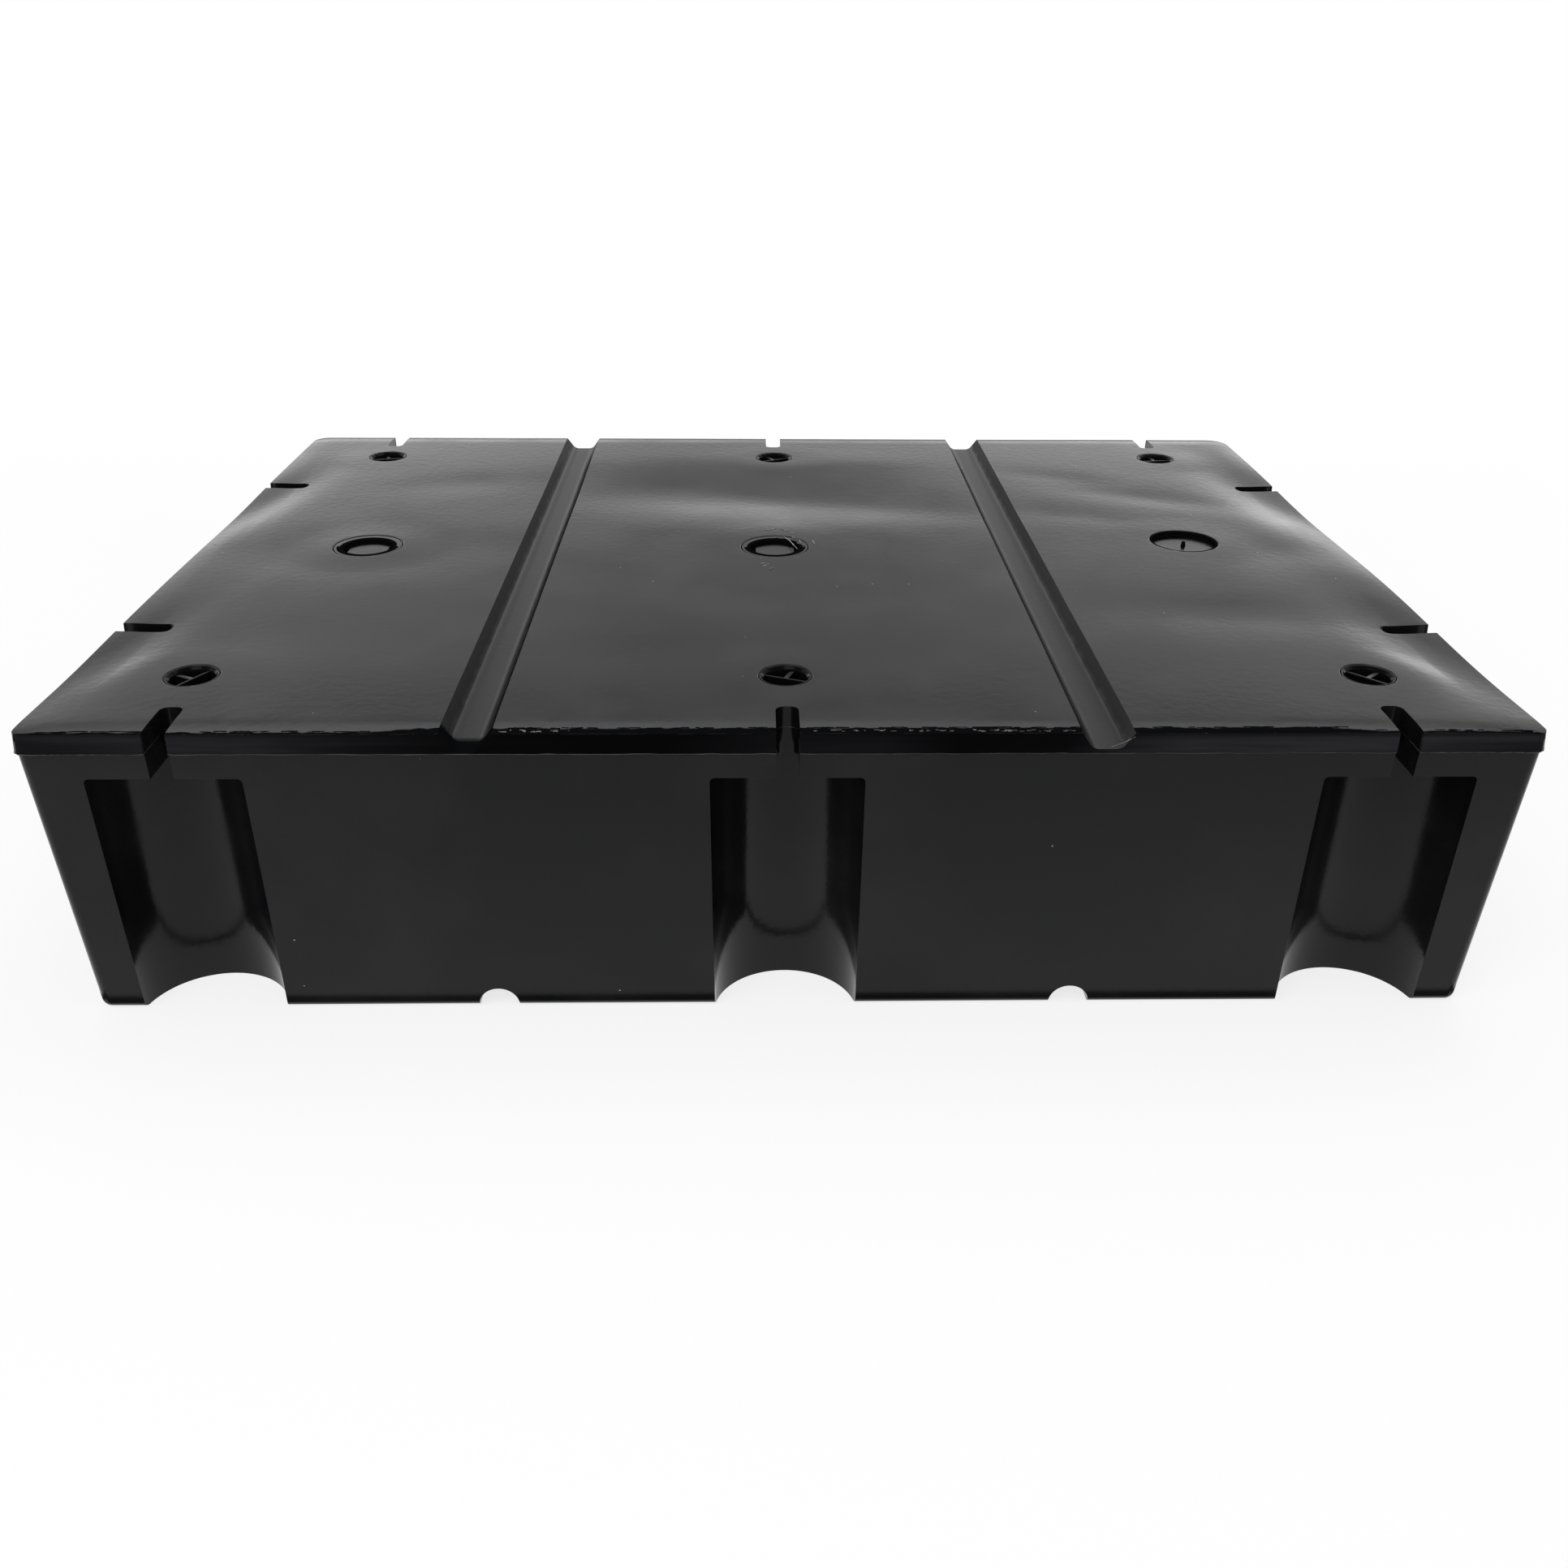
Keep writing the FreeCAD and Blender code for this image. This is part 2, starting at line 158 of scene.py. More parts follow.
PLUGS = {node: plug_place(node) for node in (*HEX_TURNS, FLUSH_PLUG, *VENT_TURNS)}


def number(name, description, default, **more):
    return FloatProperty(name=name, description=description, default=default, **more)


def length(name, description, default):
    return number(name, description, default, min=0.0, unit="LENGTH", precision=5)


def angle(name, description, degrees):
    return number(name, description, math.radians(degrees), subtype="ANGLE")


def share(name, description, default):
    return number(name, description, default, min=0.0, max=1.0, subtype="FACTOR")


def colour(name, description, default):
    return FloatVectorProperty(name=name, description=description, default=default, size=3, min=0.0, max=1.0,
                               subtype="COLOR")


class ShellSizes(bpy.types.PropertyGroup):
    """Sizes of the moulded shell"""

    rim_height: length("Rim height", "Height of the band above the seam", 0.019)
    rim_draft: length("Rim draft", "How far the band narrows upwards", 0.0013)
    seam_step: length("Seam step", "How far the wall stands back under the band", 0.0016)
    bead: length("Seam bead", "Radius of the ridge along the seam", 0.0006)
    wall_draft: angle("Wall draft", "Lean of the walls towards the base", 2.4)
    front_corner: length("Front corners", "Radius in plan", 0.011)
    back_left_corner: length("Back left corner", "Radius in plan", 0.017)
    back_right_corner: length("Back right corner", "Radius in plan", 0.025)
    base_edge: length("Base edge", "Radius round the base", 0.006)
    top_edge: length("Top edge", "Radius of the edges of sheet, slots and grooves", 0.0028)
    slot_width: length("Slot width", "Clear width", 0.019)
    slot_length: length("Slot length", "Length from the rim's face", 0.050)
    slot_end: length("Slot end", "Radius of the inner corners", 0.007)
    slot_mouth: length("Slot mouth", "Radius of the mouth in the rim's face", 0.0012)
    slot_inset_long: length("Long side's slots", "Inset from the drum's ends", 0.114)
    slot_inset_short: length("Short side's slots", "Inset from the long sides", 0.228)
    pocket: length("Pocket", "Radius of the half-round pockets", 0.0625)
    pocket_roof: length("Pocket roof", "Depth below the top", 0.042)
    pocket_edge: length("Pocket edge", "Radius of the edges in the wall", 0.0016)
    pocket_round: length("Pocket rounding", "Radius between roof and round wall", 0.004)
    groove_inset: length("Grooves", "Inset of the middle lines from the ends", 0.356)
    groove_width: length("Groove width", "Width at the sheet", 0.0425)
    groove_floor: length("Groove floor", "Width of the floor", 0.023)
    groove_depth: length("Groove depth", "Depth below the sheet", 0.015)
    groove_round: length("Groove rounding", "Width between flank and floor", 0.0046)
    spout_length: length("Spout length", "The left groove's lowered front end", 0.022)
    spout_floor: length("Spout floor", "Width of its floor at the face", 0.011)
    spout_drop: length("Spout drop", "How much deeper it is at the face", 0.0035)
    channel_inset: length("Channels", "Inset of the middle lines from the ends", 0.360)
    channel: length("Channel", "Radius of the channels under the base", 0.0175)
    channel_rise: length("Channel rise", "Height of the axis above the base", 0.0015)
    fit_gap: length("Fit gap", "Clearance round each plug", 0.00035)
    fill_seat: length("Fill seat", "Depth of the large seats", 0.0105)
    fill_ledge: length("Fill ledge", "Width of the ledge in the large seats", 0.0056)
    fill_bore: length("Fill bore", "Depth of the bore under the large seats", 0.026)
    vent_seat: length("Vent seat", "Depth of the small seats", 0.020)
    seat_edge: length("Seat edge", "Radius of the seats' edges", 0.0012)
    cell: length("Cell", "Size of the cells that let the sheet wave", 0.010)
    sag: length("Sag", "The deepest that the sheet may sink", 0.006)
    shrink: length("Shrink", "How far the whole sheet lies below its mould", 0.0004)
    roll: length("Roll", "Fall of the sheet at its front and back edges", 0.0015)
    roll_width: length("Roll width", "Width of that fall", 0.030)
    side_roll: length("Side roll", "Fall of the sheet at its left and right edges", 0.0008)
    side_roll_width: length("Side roll width", "Width of that fall", 0.025)


class PlugSizes(bpy.types.PropertyGroup):
    """Sizes of the nine plugs"""

    steps: IntProperty(name="Steps", description="Steps round each plug", default=96, min=24)
    neck_gap: length("Neck gap", "Room under a large plug's neck", 0.001)
    neck_wall: length("Neck wall", "Wall between trench and neck", 0.0045)
    flange_drop: length("Flange drop", "Depth of the flange below the sheet", 0.001)
    trench: length("Trench", "Depth below the sheet", 0.014)
    trench_round: length("Trench rounding", "Width at the trench's edge", 0.0010)
    worn_ring: length("Worn ring", "Width of the dull ring round the trench", 0.0042)
    worn_front: length("Worn front", "Width of that ring on its front side", 0.0070)
    hex_flats: length("Hexagon", "Width of the head across its flats", 0.0435)
    hex_drop: length("Hexagon drop", "Depth of the head below the sheet", 0.0048)
    hex_corner: length("Hexagon corner", "Width of the head's rounded corners", 0.003)
    hex_edge: length("Hexagon edge", "Width of the head's broken edge", 0.0016)
    flush_lip: length("Flush lip", "Width of the flush plug's lip", 0.0022)
    flush_plate: length("Flush plate", "Thickness of the plate over the ledge", 0.005)
    nib: length("Nib", "Radius of the moulding nib", 0.0026)
    nib_height: length("Nib height", "Height of the moulding nib", 0.0045)
    lip_drop: length("Lip drop", "Depth of the flush and vent plugs' lips below the sheet", 0.0008)
    lip_edge: length("Lip edge", "Width of the lips' rounded edges", 0.0005)
    vent_lip: length("Vent lip", "Width of a vent plug's lip", 0.0014)
    vent_funnel: length("Vent funnel", "Width and height of the slope inside the lip", 0.003)
    vent_floor: length("Vent floor", "Thickness of the cup's floor", 0.004)
    web: length("Web", "Thickness of the web across the cup", 0.0028)
    web_drop: length("Web drop", "Depth of the web below the sheet", 0.0035)
    rib: length("Rib", "Thickness of the rib to the wall", 0.0045)


class FinishColours(bpy.types.PropertyGroup):
    """Colours and gloss of the black plastic"""

    black: colour("Black", "Colour of the plastic", (0.0034, 0.0036, 0.0042))
    smudge: colour("Smudge", "Colour where the shell is handled", (0.0085, 0.0085, 0.0088))
    dust: colour("Dust", "Colour of the pale specks", (0.30, 0.31, 0.32))
    flash: colour("Flash", "Colour of the seam's ridge", (0.012, 0.012, 0.013))
    film: colour("Film", "Colour of the torn threads", (0.30, 0.30, 0.29))
    crumb: colour("Crumbs", "Colour of the crumbs along the front edge", (0.10, 0.10, 0.092))
    # The rim grey is the palest tone of the band's painted reflection
    rim_painted_reflection_grey: colour("Rim grey", "Palest colour of the band", (0.020, 0.020, 0.022))
    gloss: share("Gloss", "Specular level of the shell", 0.19)
    fill_gloss: share("Fill plug gloss", "Specular level of the large plugs", 0.24)
    vent_gloss: share("Vent gloss", "Specular level of the small cup plugs", 0.06)
    rim_gloss: share("Rim gloss", "Specular level of the band above the seam", 0.008)
    roughness: share("Roughness", "Roughness of the shell and the plugs", 0.15)
    rim_roughness: share("Rim roughness", "Roughness of the band", 0.35)
    groove_roughness: share("Groove roughness", "Roughness of the grooves", 0.34)
    scraped_roughness: share("Scraped roughness", "Roughness where the plastic is scraped", 0.6)
    scrap_roughness: share("Scrap roughness", "Roughness of threads, crumbs and ridge", 0.3)


class StudioSettings(bpy.types.PropertyGroup):
    """Camera, lamps and floor"""

    focal_pixels: number("Focal length", "In pixels of the square photo", 1768.0)
    photo_pixels: number("Photo size", "Width of the square photo in pixels", 1932.0)
    pitch: angle("Pitch", "Camera's downward tilt", 27.84)
    yaw: angle("Yaw", "Camera's turn to the right", 1.41)
    roll: angle("Roll", "Camera's turn about its own axis", -0.53)
    place: FloatVectorProperty(name="Place", description="Camera's place", default=(-0.028, -1.471, 0.762),
                               subtype="TRANSLATION", unit="LENGTH")
    surround: share("Surround", "Brightness of the room", 0.72)
    floor: colour("Floor", "Colour of the floor", (0.90, 0.90, 0.90))
    lamps: number("Lamps", "Strength of both softboxes", 1.0)
    bright: number("Bright walls", "Brightness of the room's lit parts", 3.0)


class Group:
    """Reads one group of the scene's sizes, colours or settings"""

    def __init__(self, key):
        self.key = key

    def __getattr__(self, name):
        return getattr(getattr(bpy.context.scene, self.key), name)


sizes, plugs = Group("float_drum_shell"), Group("float_drum_plugs")
finish, studio = Group("float_drum_finish"), Group("float_drum_studio")


# Small helpers round Blender's own operators


def activate(piece):
    bpy.ops.object.select_all(action="DESELECT")
    piece.select_set(True)
    bpy.context.view_layer.objects.active = piece


def enter_edit(piece):
    activate(piece)
    bpy.ops.object.mode_set(mode="EDIT")


def leave_edit():
    bpy.ops.object.mode_set(mode="OBJECT")


def pick(piece, kind, test):
    """Selects, in edit mode, the vertices, edges or faces that pass a test."""
    bpy.ops.mesh.select_mode(type=kind)
    bpy.ops.mesh.select_all(action="DESELECT")
    mesh = bmesh.from_edit_mesh(piece.data)
    mesh.normal_update()
    elements = {"VERT": mesh.verts, "EDGE": mesh.edges, "FACE": mesh.faces}[kind]
    found = [element for element in elements if test(element)]
    if not found:
        raise RuntimeError("nothing to select on " + piece.name)
    for element in found:
        element.select_set(True)
    bmesh.update_edit_mesh(piece.data)


def apply_place(piece):
    """Puts the active piece's place, turn and scale into its mesh."""
    bpy.ops.object.transform_apply(location=True, rotation=True, scale=True)
    return piece


def add_box(name, low, high):
    low, high = Vector(low), Vector(high)
    bpy.ops.mesh.primitive_cube_add(size=1.0, location=(low + high) / 2.0)
    box = bpy.context.active_object
    box.name = name
    box.scale = high - low
    return apply_place(box)


def add_cylinder(name, centre, radius, low_z, high_z, steps):
    bpy.ops.mesh.primitive_cylinder_add(vertices=steps, radius=radius, depth=high_z - low_z,
                                        location=(centre.x, centre.y, (low_z + high_z) / 2.0))
    cylinder = bpy.context.active_object
    cylinder.name = name
    return apply_place(cylinder)


def turned_copy(piece, turn, shift):
    """A copy with its own mesh, turned about Z and then shifted."""
    activate(piece)
    bpy.ops.object.duplicate()
    copy = bpy.context.active_object
    copy.rotation_euler = (0.0, 0.0, turn)
    copy.location = shift
    return apply_place(copy)


def mid(edge):
    return (edge.verts[0].co + edge.verts[1].co) / 2.0


def span(edge, axis):
    """How far an edge runs along an axis."""
    return abs(edge.verts[0].co[axis] - edge.verts[1].co[axis])


def is_upright(edge):
    return span(edge, 2) > edge.calc_length() * 0.9


def lies_at(edge, z):
    return all(abs(vert.co.z - z) < HAIR for vert in edge.verts)


def bevel(piece, test, width, segments):
    pick(piece, "EDGE", test)
    bpy.ops.mesh.bevel(offset=width, segments=segments, profile=0.5, affect="EDGES", clamp_overlap=True)


def extrude(step):
    bpy.ops.mesh.extrude_region_move(TRANSFORM_OT_translate={"value": step})


def scale_picked(factor_x, factor_y, x=0.0):
    bpy.ops.transform.resize(value=(factor_x, factor_y, 1.0), center_override=(x, 0.0, 0.0))


def cut(axis, offset):
    """Cuts all that isn't hidden along a plane across an axis."""
    normal = Vector((0.0, 0.0, 0.0))
    normal[axis] = 1.0
    bpy.ops.mesh.select_all(action="SELECT")
    bpy.ops.mesh.bisect(plane_co=normal * offset, plane_no=normal, threshold=HAIR)


def remove(pieces):
    bpy.ops.object.select_all(action="DESELECT")
    for piece in pieces:
        piece.select_set(True)
    bpy.ops.object.delete()


def modify(piece, kind, **values):
    """Adds a modifier with these values, and applies it."""
    activate(piece)
    bpy.ops.object.modifier_add(type=kind)
    modifier = piece.modifiers[-1]
    for name, value in values.items():
        setattr(modifier, name, value)
    bpy.ops.object.modifier_apply(modifier=modifier.name)


def combine(piece, others, operation):
    """Cuts the others out of a piece or joins them to it, and deletes them."""
    group = bpy.data.collections.new("cutters")
    bpy.context.scene.collection.children.link(group)
    for other in others:
        group.objects.link(other)
    modify(piece, "BOOLEAN", operation=operation, solver="EXACT", operand_type="COLLECTION", collection=group)
    remove(others)
    bpy.data.collections.remove(group)


def smooth(piece, degrees):
    activate(piece)
    bpy.ops.object.shade_smooth_by_angle(angle=math.radians(degrees), keep_sharp_edges=False)
    modify(piece, "WEIGHTED_NORMAL", keep_sharp=True, weight=60)


def draw_line(name, points):
    """A new piece, in edit mode, that is a line through these points."""
    bpy.ops.mesh.primitive_plane_add(size=0.01, location=(0.0, 0.0, 0.0))
    piece = bpy.context.active_object
    piece.name = name
    bpy.ops.object.mode_set(mode="EDIT")
    bpy.ops.mesh.select_all(action="SELECT")
    bpy.ops.mesh.merge(type="CENTER")
    bpy.ops.mesh.select_mode(type="VERT")
    bpy.ops.mesh.select_all(action="SELECT")
    bpy.ops.transform.translate(value=points[0])
    for before, after in zip(points, points[1:]):
        extrude([b - a for a, b in zip(before, after)])
    return piece


def lathe(name, points):
    """Turns a line of radius and height pairs about Z; both ends lie on the axis."""
    piece = draw_line(name, [(radius, 0.0, z) for radius, z in points])
    bpy.ops.mesh.select_all(action="SELECT")
    bpy.ops.mesh.spin(steps=plugs.steps, angle=2.0 * math.pi, center=(0.0, 0.0, 0.0), axis=(0.0, 0.0, 1.0),
                      use_auto_merge=False)
    bpy.ops.mesh.select_all(action="SELECT")
    bpy.ops.mesh.remove_doubles(threshold=HAIR / 10.0)
    bpy.ops.mesh.normals_make_consistent(inside=False)
    leave_edit()
    return piece


def round_ring(piece, radius, z, width, segments=3):
    """Rounds one circular edge of a turned piece."""
    def on_ring(edge):
        return lies_at(edge, z) and all(abs(vert.co.xy.length - radius) < HAIR for vert in edge.verts)
    enter_edit(piece)
    bevel(piece, on_ring, width, segments)
    leave_edit()


def paint(piece, *materials):
    piece.data.materials.clear()
    for material in materials:
        piece.data.materials.append(material)


def paint_faces(piece, test, index):
    """Gives the faces that pass a test another of the piece's materials."""
    enter_edit(piece)
    pick(piece, "FACE", test)
    piece.active_material_index = index
    bpy.ops.object.material_slot_assign()
    leave_edit()


# The moulded shell


def side_places():
    """Turn and shift of each slot and pocket, from the front face at the origin to its place."""
    long_x, short_y = HALF_X - sizes.slot_inset_long, HALF_Y - sizes.slot_inset_short
    places = []
    for x in (-long_x, 0.0, long_x):
        places += [(0.0, Vector((x, -HALF_Y, 0.0))), (math.pi, Vector((x, HALF_Y, 0.0)))]
    for y in (-short_y, short_y):
        places += [(-math.pi / 2.0, Vector((-HALF_X, y, 0.0))), (math.pi / 2.0, Vector((HALF_X, y, 0.0)))]
    return places


def round_corners(block):
    """Rounds the four upright corners, each with its own radius."""
    corners = ((-1, -1, sizes.front_corner), (1, -1, sizes.front_corner),
               (-1, 1, sizes.back_left_corner), (1, 1, sizes.back_right_corner))
    for x, y, radius in corners:
        bevel(block, lambda e: is_upright(e) and mid(e).x * x > HALF_X / 2.0 and mid(e).y * y > 0.0,
              radius, 8)


def make_block():
    """The rim's band and the tapered walls, as one closed block."""
    seam_z = TOP - sizes.rim_height
    half_x, half_y = HALF_X - sizes.bead, HALF_Y - sizes.bead
    rim = add_box("drum_shell", (-half_x, -half_y, seam_z), (half_x, half_y, TOP))
    enter_edit(rim)
    round_corners(rim)
    pick(rim, "VERT", lambda v: v.co.z > TOP - HAIR)
    scale_picked(1.0 - sizes.rim_draft / half_x, 1.0 - sizes.rim_draft / half_y)
    leave_edit()
    wall_x, wall_y = half_x - sizes.seam_step, half_y - sizes.seam_step
    wall = add_box("walls", (-wall_x, -wall_y, 0.0), (wall_x, wall_y, seam_z + SINK))
    inset = seam_z * math.tan(sizes.wall_draft)
    enter_edit(wall)
    round_corners(wall)
    pick(wall, "VERT", lambda v: v.co.z < HAIR)
    scale_picked(1.0 - inset / wall_x, 1.0 - inset / wall_y)
    bevel(wall, lambda e: lies_at(e, 0.0), sizes.base_edge, 4)
    leave_edit()
    combine(rim, [wall], "UNION")
    return rim


def make_slot_cutter():
    half = sizes.slot_width / 2.0
    wide = half + sizes.slot_mouth + OVERRUN
    cutter = add_box("slot", (-wide, -OVERRUN, TOP - sizes.pocket_roof - SINK), (wide, 0.0, TOP + OVERRUN))
    enter_edit(cutter)
    for x in (-half, half):
        cut(0, x)
    pick(cutter, "FACE", lambda f: f.normal.y > 0.9 and abs(f.calc_center_median().x) < half)
    extrude((0.0, sizes.slot_length, 0.0))
    bevel(cutter, lambda e: is_upright(e) and mid(e).y > sizes.slot_length - HAIR, sizes.slot_end, 6)
    bevel(cutter, lambda e: is_upright(e) and abs(mid(e).y) < HAIR and abs(mid(e).x) < half + HAIR,
          sizes.slot_mouth, 3)
    leave_edit()
    return cutter


def make_pocket_cutter():
    axis = Vector((0.0, sizes.bead + sizes.seam_step, 0.0))
    roof = TOP - sizes.pocket_roof
    cutter = add_cylinder("pocket", axis, sizes.pocket, -OVERRUN, roof, 128)
    enter_edit(cutter)
    bevel(cutter, lambda e: lies_at(e, roof), sizes.pocket_round, 4)
    leave_edit()
    return cutter


def make_groove_cutter(x, has_spout):
    """A trapezoid across the sheet; the left one's front end narrows and goes down to the seam."""
    half = sizes.groove_width / 2.0
    floor_z = TOP - sizes.groove_depth
    far = HALF_Y + OVERRUN
    cutter = add_box("groove", (x - half, -far, floor_z), (x + half, far, TOP))
    enter_edit(cutter)
    pick(cutter, "VERT", lambda v: v.co.z < floor_z + HAIR)
    scale_picked(sizes.groove_floor / sizes.groove_width, 1.0, x)
    pick(cutter, "FACE", lambda f: f.normal.z > 0.9)
    extrude((0.0, 0.0, OVERRUN))
    if has_spout:
        for y in (-HALF_Y, -HALF_Y + sizes.spout_length):
            cut(1, y)
        pick(cutter, "VERT", lambda v: v.co.z < floor_z + HAIR and v.co.y < -HALF_Y + HAIR)
        scale_picked(sizes.spout_floor / sizes.groove_floor, 1.0, x)
        bpy.ops.transform.translate(value=(0.0, 0.0, -sizes.spout_drop))
    bevel(cutter, lambda e: span(e, 1) > HAIR and mid(e).z < floor_z + HAIR, sizes.groove_round, 5)
    leave_edit()
    return cutter


def make_channel_cutter(x):
    r, far = sizes.channel, HALF_Y + OVERRUN
    crown = sizes.channel_rise + r
    cutter = add_box("channel", (x - r, -far, -OVERRUN), (x + r, far, crown))
    enter_edit(cutter)
    bevel(cutter, lambda e: lies_at(e, crown) and span(e, 1) > HAIR, r - HAIR, 16)
    leave_edit()
    return cutter


def make_seat_cutters():
    """A seat for each plug, and a bore under the large ones."""
    cutters = []
    for node, (centre, radius) in PLUGS.items():
        is_vent = node in VENT_TURNS
        floor_z = TOP - (sizes.vent_seat if is_vent else sizes.fill_seat)
        radius += sizes.fit_gap
        cutters.append(add_cylinder("seat", centre, radius, floor_z, TOP + OVERRUN, plugs.steps))
        if not is_vent:
            cutters.append(add_cylinder("bore", centre, radius - sizes.fill_ledge, TOP - sizes.fill_bore,
                                        floor_z + SINK, plugs.steps))
    return cutters


def near_plug(point, margin):
    """Whether a point lies over a plug's seat, with some margin round it."""
    return any((point.xy - centre.xy).length < radius + margin for centre, radius in PLUGS.values())


def is_sheet(face):
    return face.normal.z > 0.99 and face.calc_center_median().z > TOP - HAIR


def is_top_edge(edge):
    """An edge round the sheet, and not one inside it."""
    return lies_at(edge, TOP) and not all(is_sheet(face) for face in edge.link_faces)


def is_seat_edge(edge):
    return is_top_edge(edge) and near_plug(mid(edge), SINK)


def is_outer_edge(edge):
    """An edge of the sheet away from the plugs, or a convex one where a groove opens in the rim."""
    if is_top_edge(edge) and not near_plug(mid(edge), 2.0 * SINK):
        return True
    point = mid(edge)
    beside = abs(abs(point.x) - HALF_X + sizes.groove_inset) < sizes.groove_width / 2.0 + HAIR
    outside = abs(point.y) > HALF_Y - sizes.bead - sizes.rim_draft - HAIR
    return beside and outside and TOP - sizes.rim_height + HAIR < point.z < TOP + HAIR and edge.is_convex


def is_pocket_edge(edge):
    """A convex edge of a pocket in the wall or in the base, but not one of the slot above it."""
    point, roof = mid(edge), TOP - sizes.pocket_roof
    if not edge.is_convex or edge.calc_face_angle(0.0) < math.radians(25) or point.z > roof + HAIR:
        return False
    for turn, shift in side_places():
        along = (point - shift).dot(Vector((math.cos(turn), math.sin(turn), 0.0)))
        if abs(along) < sizes.slot_width and point.z > roof - HAIR:
            continue
        if all((vert.co.xy - shift.xy).length < sizes.pocket + 2.0 * SINK for vert in edge.verts):
            return True
    return False


def divide(piece):
    """Cuts all above the seam along a plain grid, closer at the ends, so that the sheet can wave."""
    seam_z = TOP - sizes.rim_height
    enter_edit(piece)
    cut(2, seam_z)
    pick(piece, "FACE", lambda f: min(v.co.z for v in f.verts) > seam_z - HAIR)
    bpy.ops.mesh.hide(unselected=True)
    for axis, half in ((0, HALF_X), (1, HALF_Y)):
        count = int(2.0 * half / sizes.cell)
        offsets = [(index / count - 0.5) * 2.0 * half for index in range(1, count)]
        for sign in (-1.0, 1.0):
            offsets += [sign * (half - sizes.roll_width * part) for part in (0.15, 0.3, 0.5, 0.8, 1.2)]
        for offset in offsets:
            cut(axis, offset)
    bpy.ops.mesh.reveal(select=False)
    leave_edit()


def sheet_dips():
    """All the dips of the sheet: the valleys in front of the side slots and the listed ones."""
    slot_y = HALF_Y - sizes.slot_inset_short
    valleys = []
    for side, width, longer, deeper in VALLEY_ENDS:
        for y, (inset, ahead, reach, depth) in ((-slot_y, FRONT_VALLEY), (slot_y, BACK_VALLEY)):
            valleys.append((side * (HALF_X - inset), y - ahead, width, reach + longer, side * VALLEY_TURN,
                            depth + deeper))
    return (*valleys, *SHEET_DIPS)


def dip_depth(point, x, y, reach_x, reach_y, turn, depth):
    """How deep one dip is at a point."""
    cos, sin = math.cos(math.radians(turn)), math.sin(math.radians(turn))
    along = ((point.x - x) * cos + (point.y - y) * sin) / reach_x
    across = ((point.y - y) * cos - (point.x - x) * sin) / reach_y
    return depth * math.exp(-along * along - across * across)


def stiffness(point):
    """Falls to 0 near the plugs, where the sheet is thick and stays put."""
    gap = min((point.xy - centre.xy).length - radius for centre, radius in PLUGS.values())
    return min(1.0, max(0.0, (gap - STIFF_GAP) / STIFF_REACH))


def sunk(point, dips):
    """How far the sheet has sunk at a point."""
    hollow = sum(dip_depth(point, *dip) for dip in dips)
    ripple = RIPPLE * (0.5 + 0.5 * noise.noise(Vector((point.x * 6.0, point.y * 8.0, 7.7))))
    to_side, to_front = max(0.0, HALF_X - abs(point.x)), max(0.0, HALF_Y - abs(point.y))
    roll = (sizes.roll * max(0.0, 1.0 - to_front / sizes.roll_width) ** 2
            + sizes.side_roll * max(0.0, 1.0 - to_side / sizes.side_roll_width) ** 2)
    return (hollow + ripple) * stiffness(point) + roll + sizes.shrink


def wave_sheet(piece):
    """Lets the sheet sink a little between its stiff lines, as a cooled moulding does."""
    dips = sheet_dips()
    group = piece.vertex_groups.new(name="sheet")
    seam_z = TOP - sizes.rim_height
    for vert in piece.data.vertices:
        rise = (vert.co.z - seam_z) / (TOP - seam_z)
        if rise > 0.0:
            weight = min(1.0, rise) * sunk(vert.co, dips) / sizes.sag
            group.add([vert.index], min(1.0, weight), "REPLACE")
    modify(piece, "DISPLACE", direction="Z", mid_level=0.0, strength=-sizes.sag, vertex_group=group.name)


def near_outside(point, margin):
    return HALF_X - abs(point.x) < margin or HALF_Y - abs(point.y) < margin


def is_band(face):
    """A steep face above the seam: the trimmed band, and the slots' walls there."""
    place = face.calc_center_median()
    return near_outside(place, 0.003) and abs(face.normal.z) < 0.35 and place.z > TOP - sizes.rim_height


def is_rounding(face):
    """A face of the rounded edge between the sheet and the band."""
    place = face.calc_center_median()
    return near_outside(place, 0.004) and 0.35 <= face.normal.z < 0.985 and place.z > TOP - 0.008


def is_groove(face):
    """A face of a groove, flank, rounding or floor, or of the flush plug's rounded seat."""
    place = face.calc_center_median()
    inside = abs(abs(place.x) - HALF_X + sizes.groove_inset) < sizes.groove_width / 2.0 - 0.0015
    groove = inside and face.normal.z > 0.3 and TOP - sizes.rim_height < place.z < TOP - 0.003
    flush, radius = PLUGS[FLUSH_PLUG]
    seat = (place.xy - flush.xy).length < radius + 0.002 and face.normal.z < 0.9 and place.z > TOP - 0.003
    return groove or seat


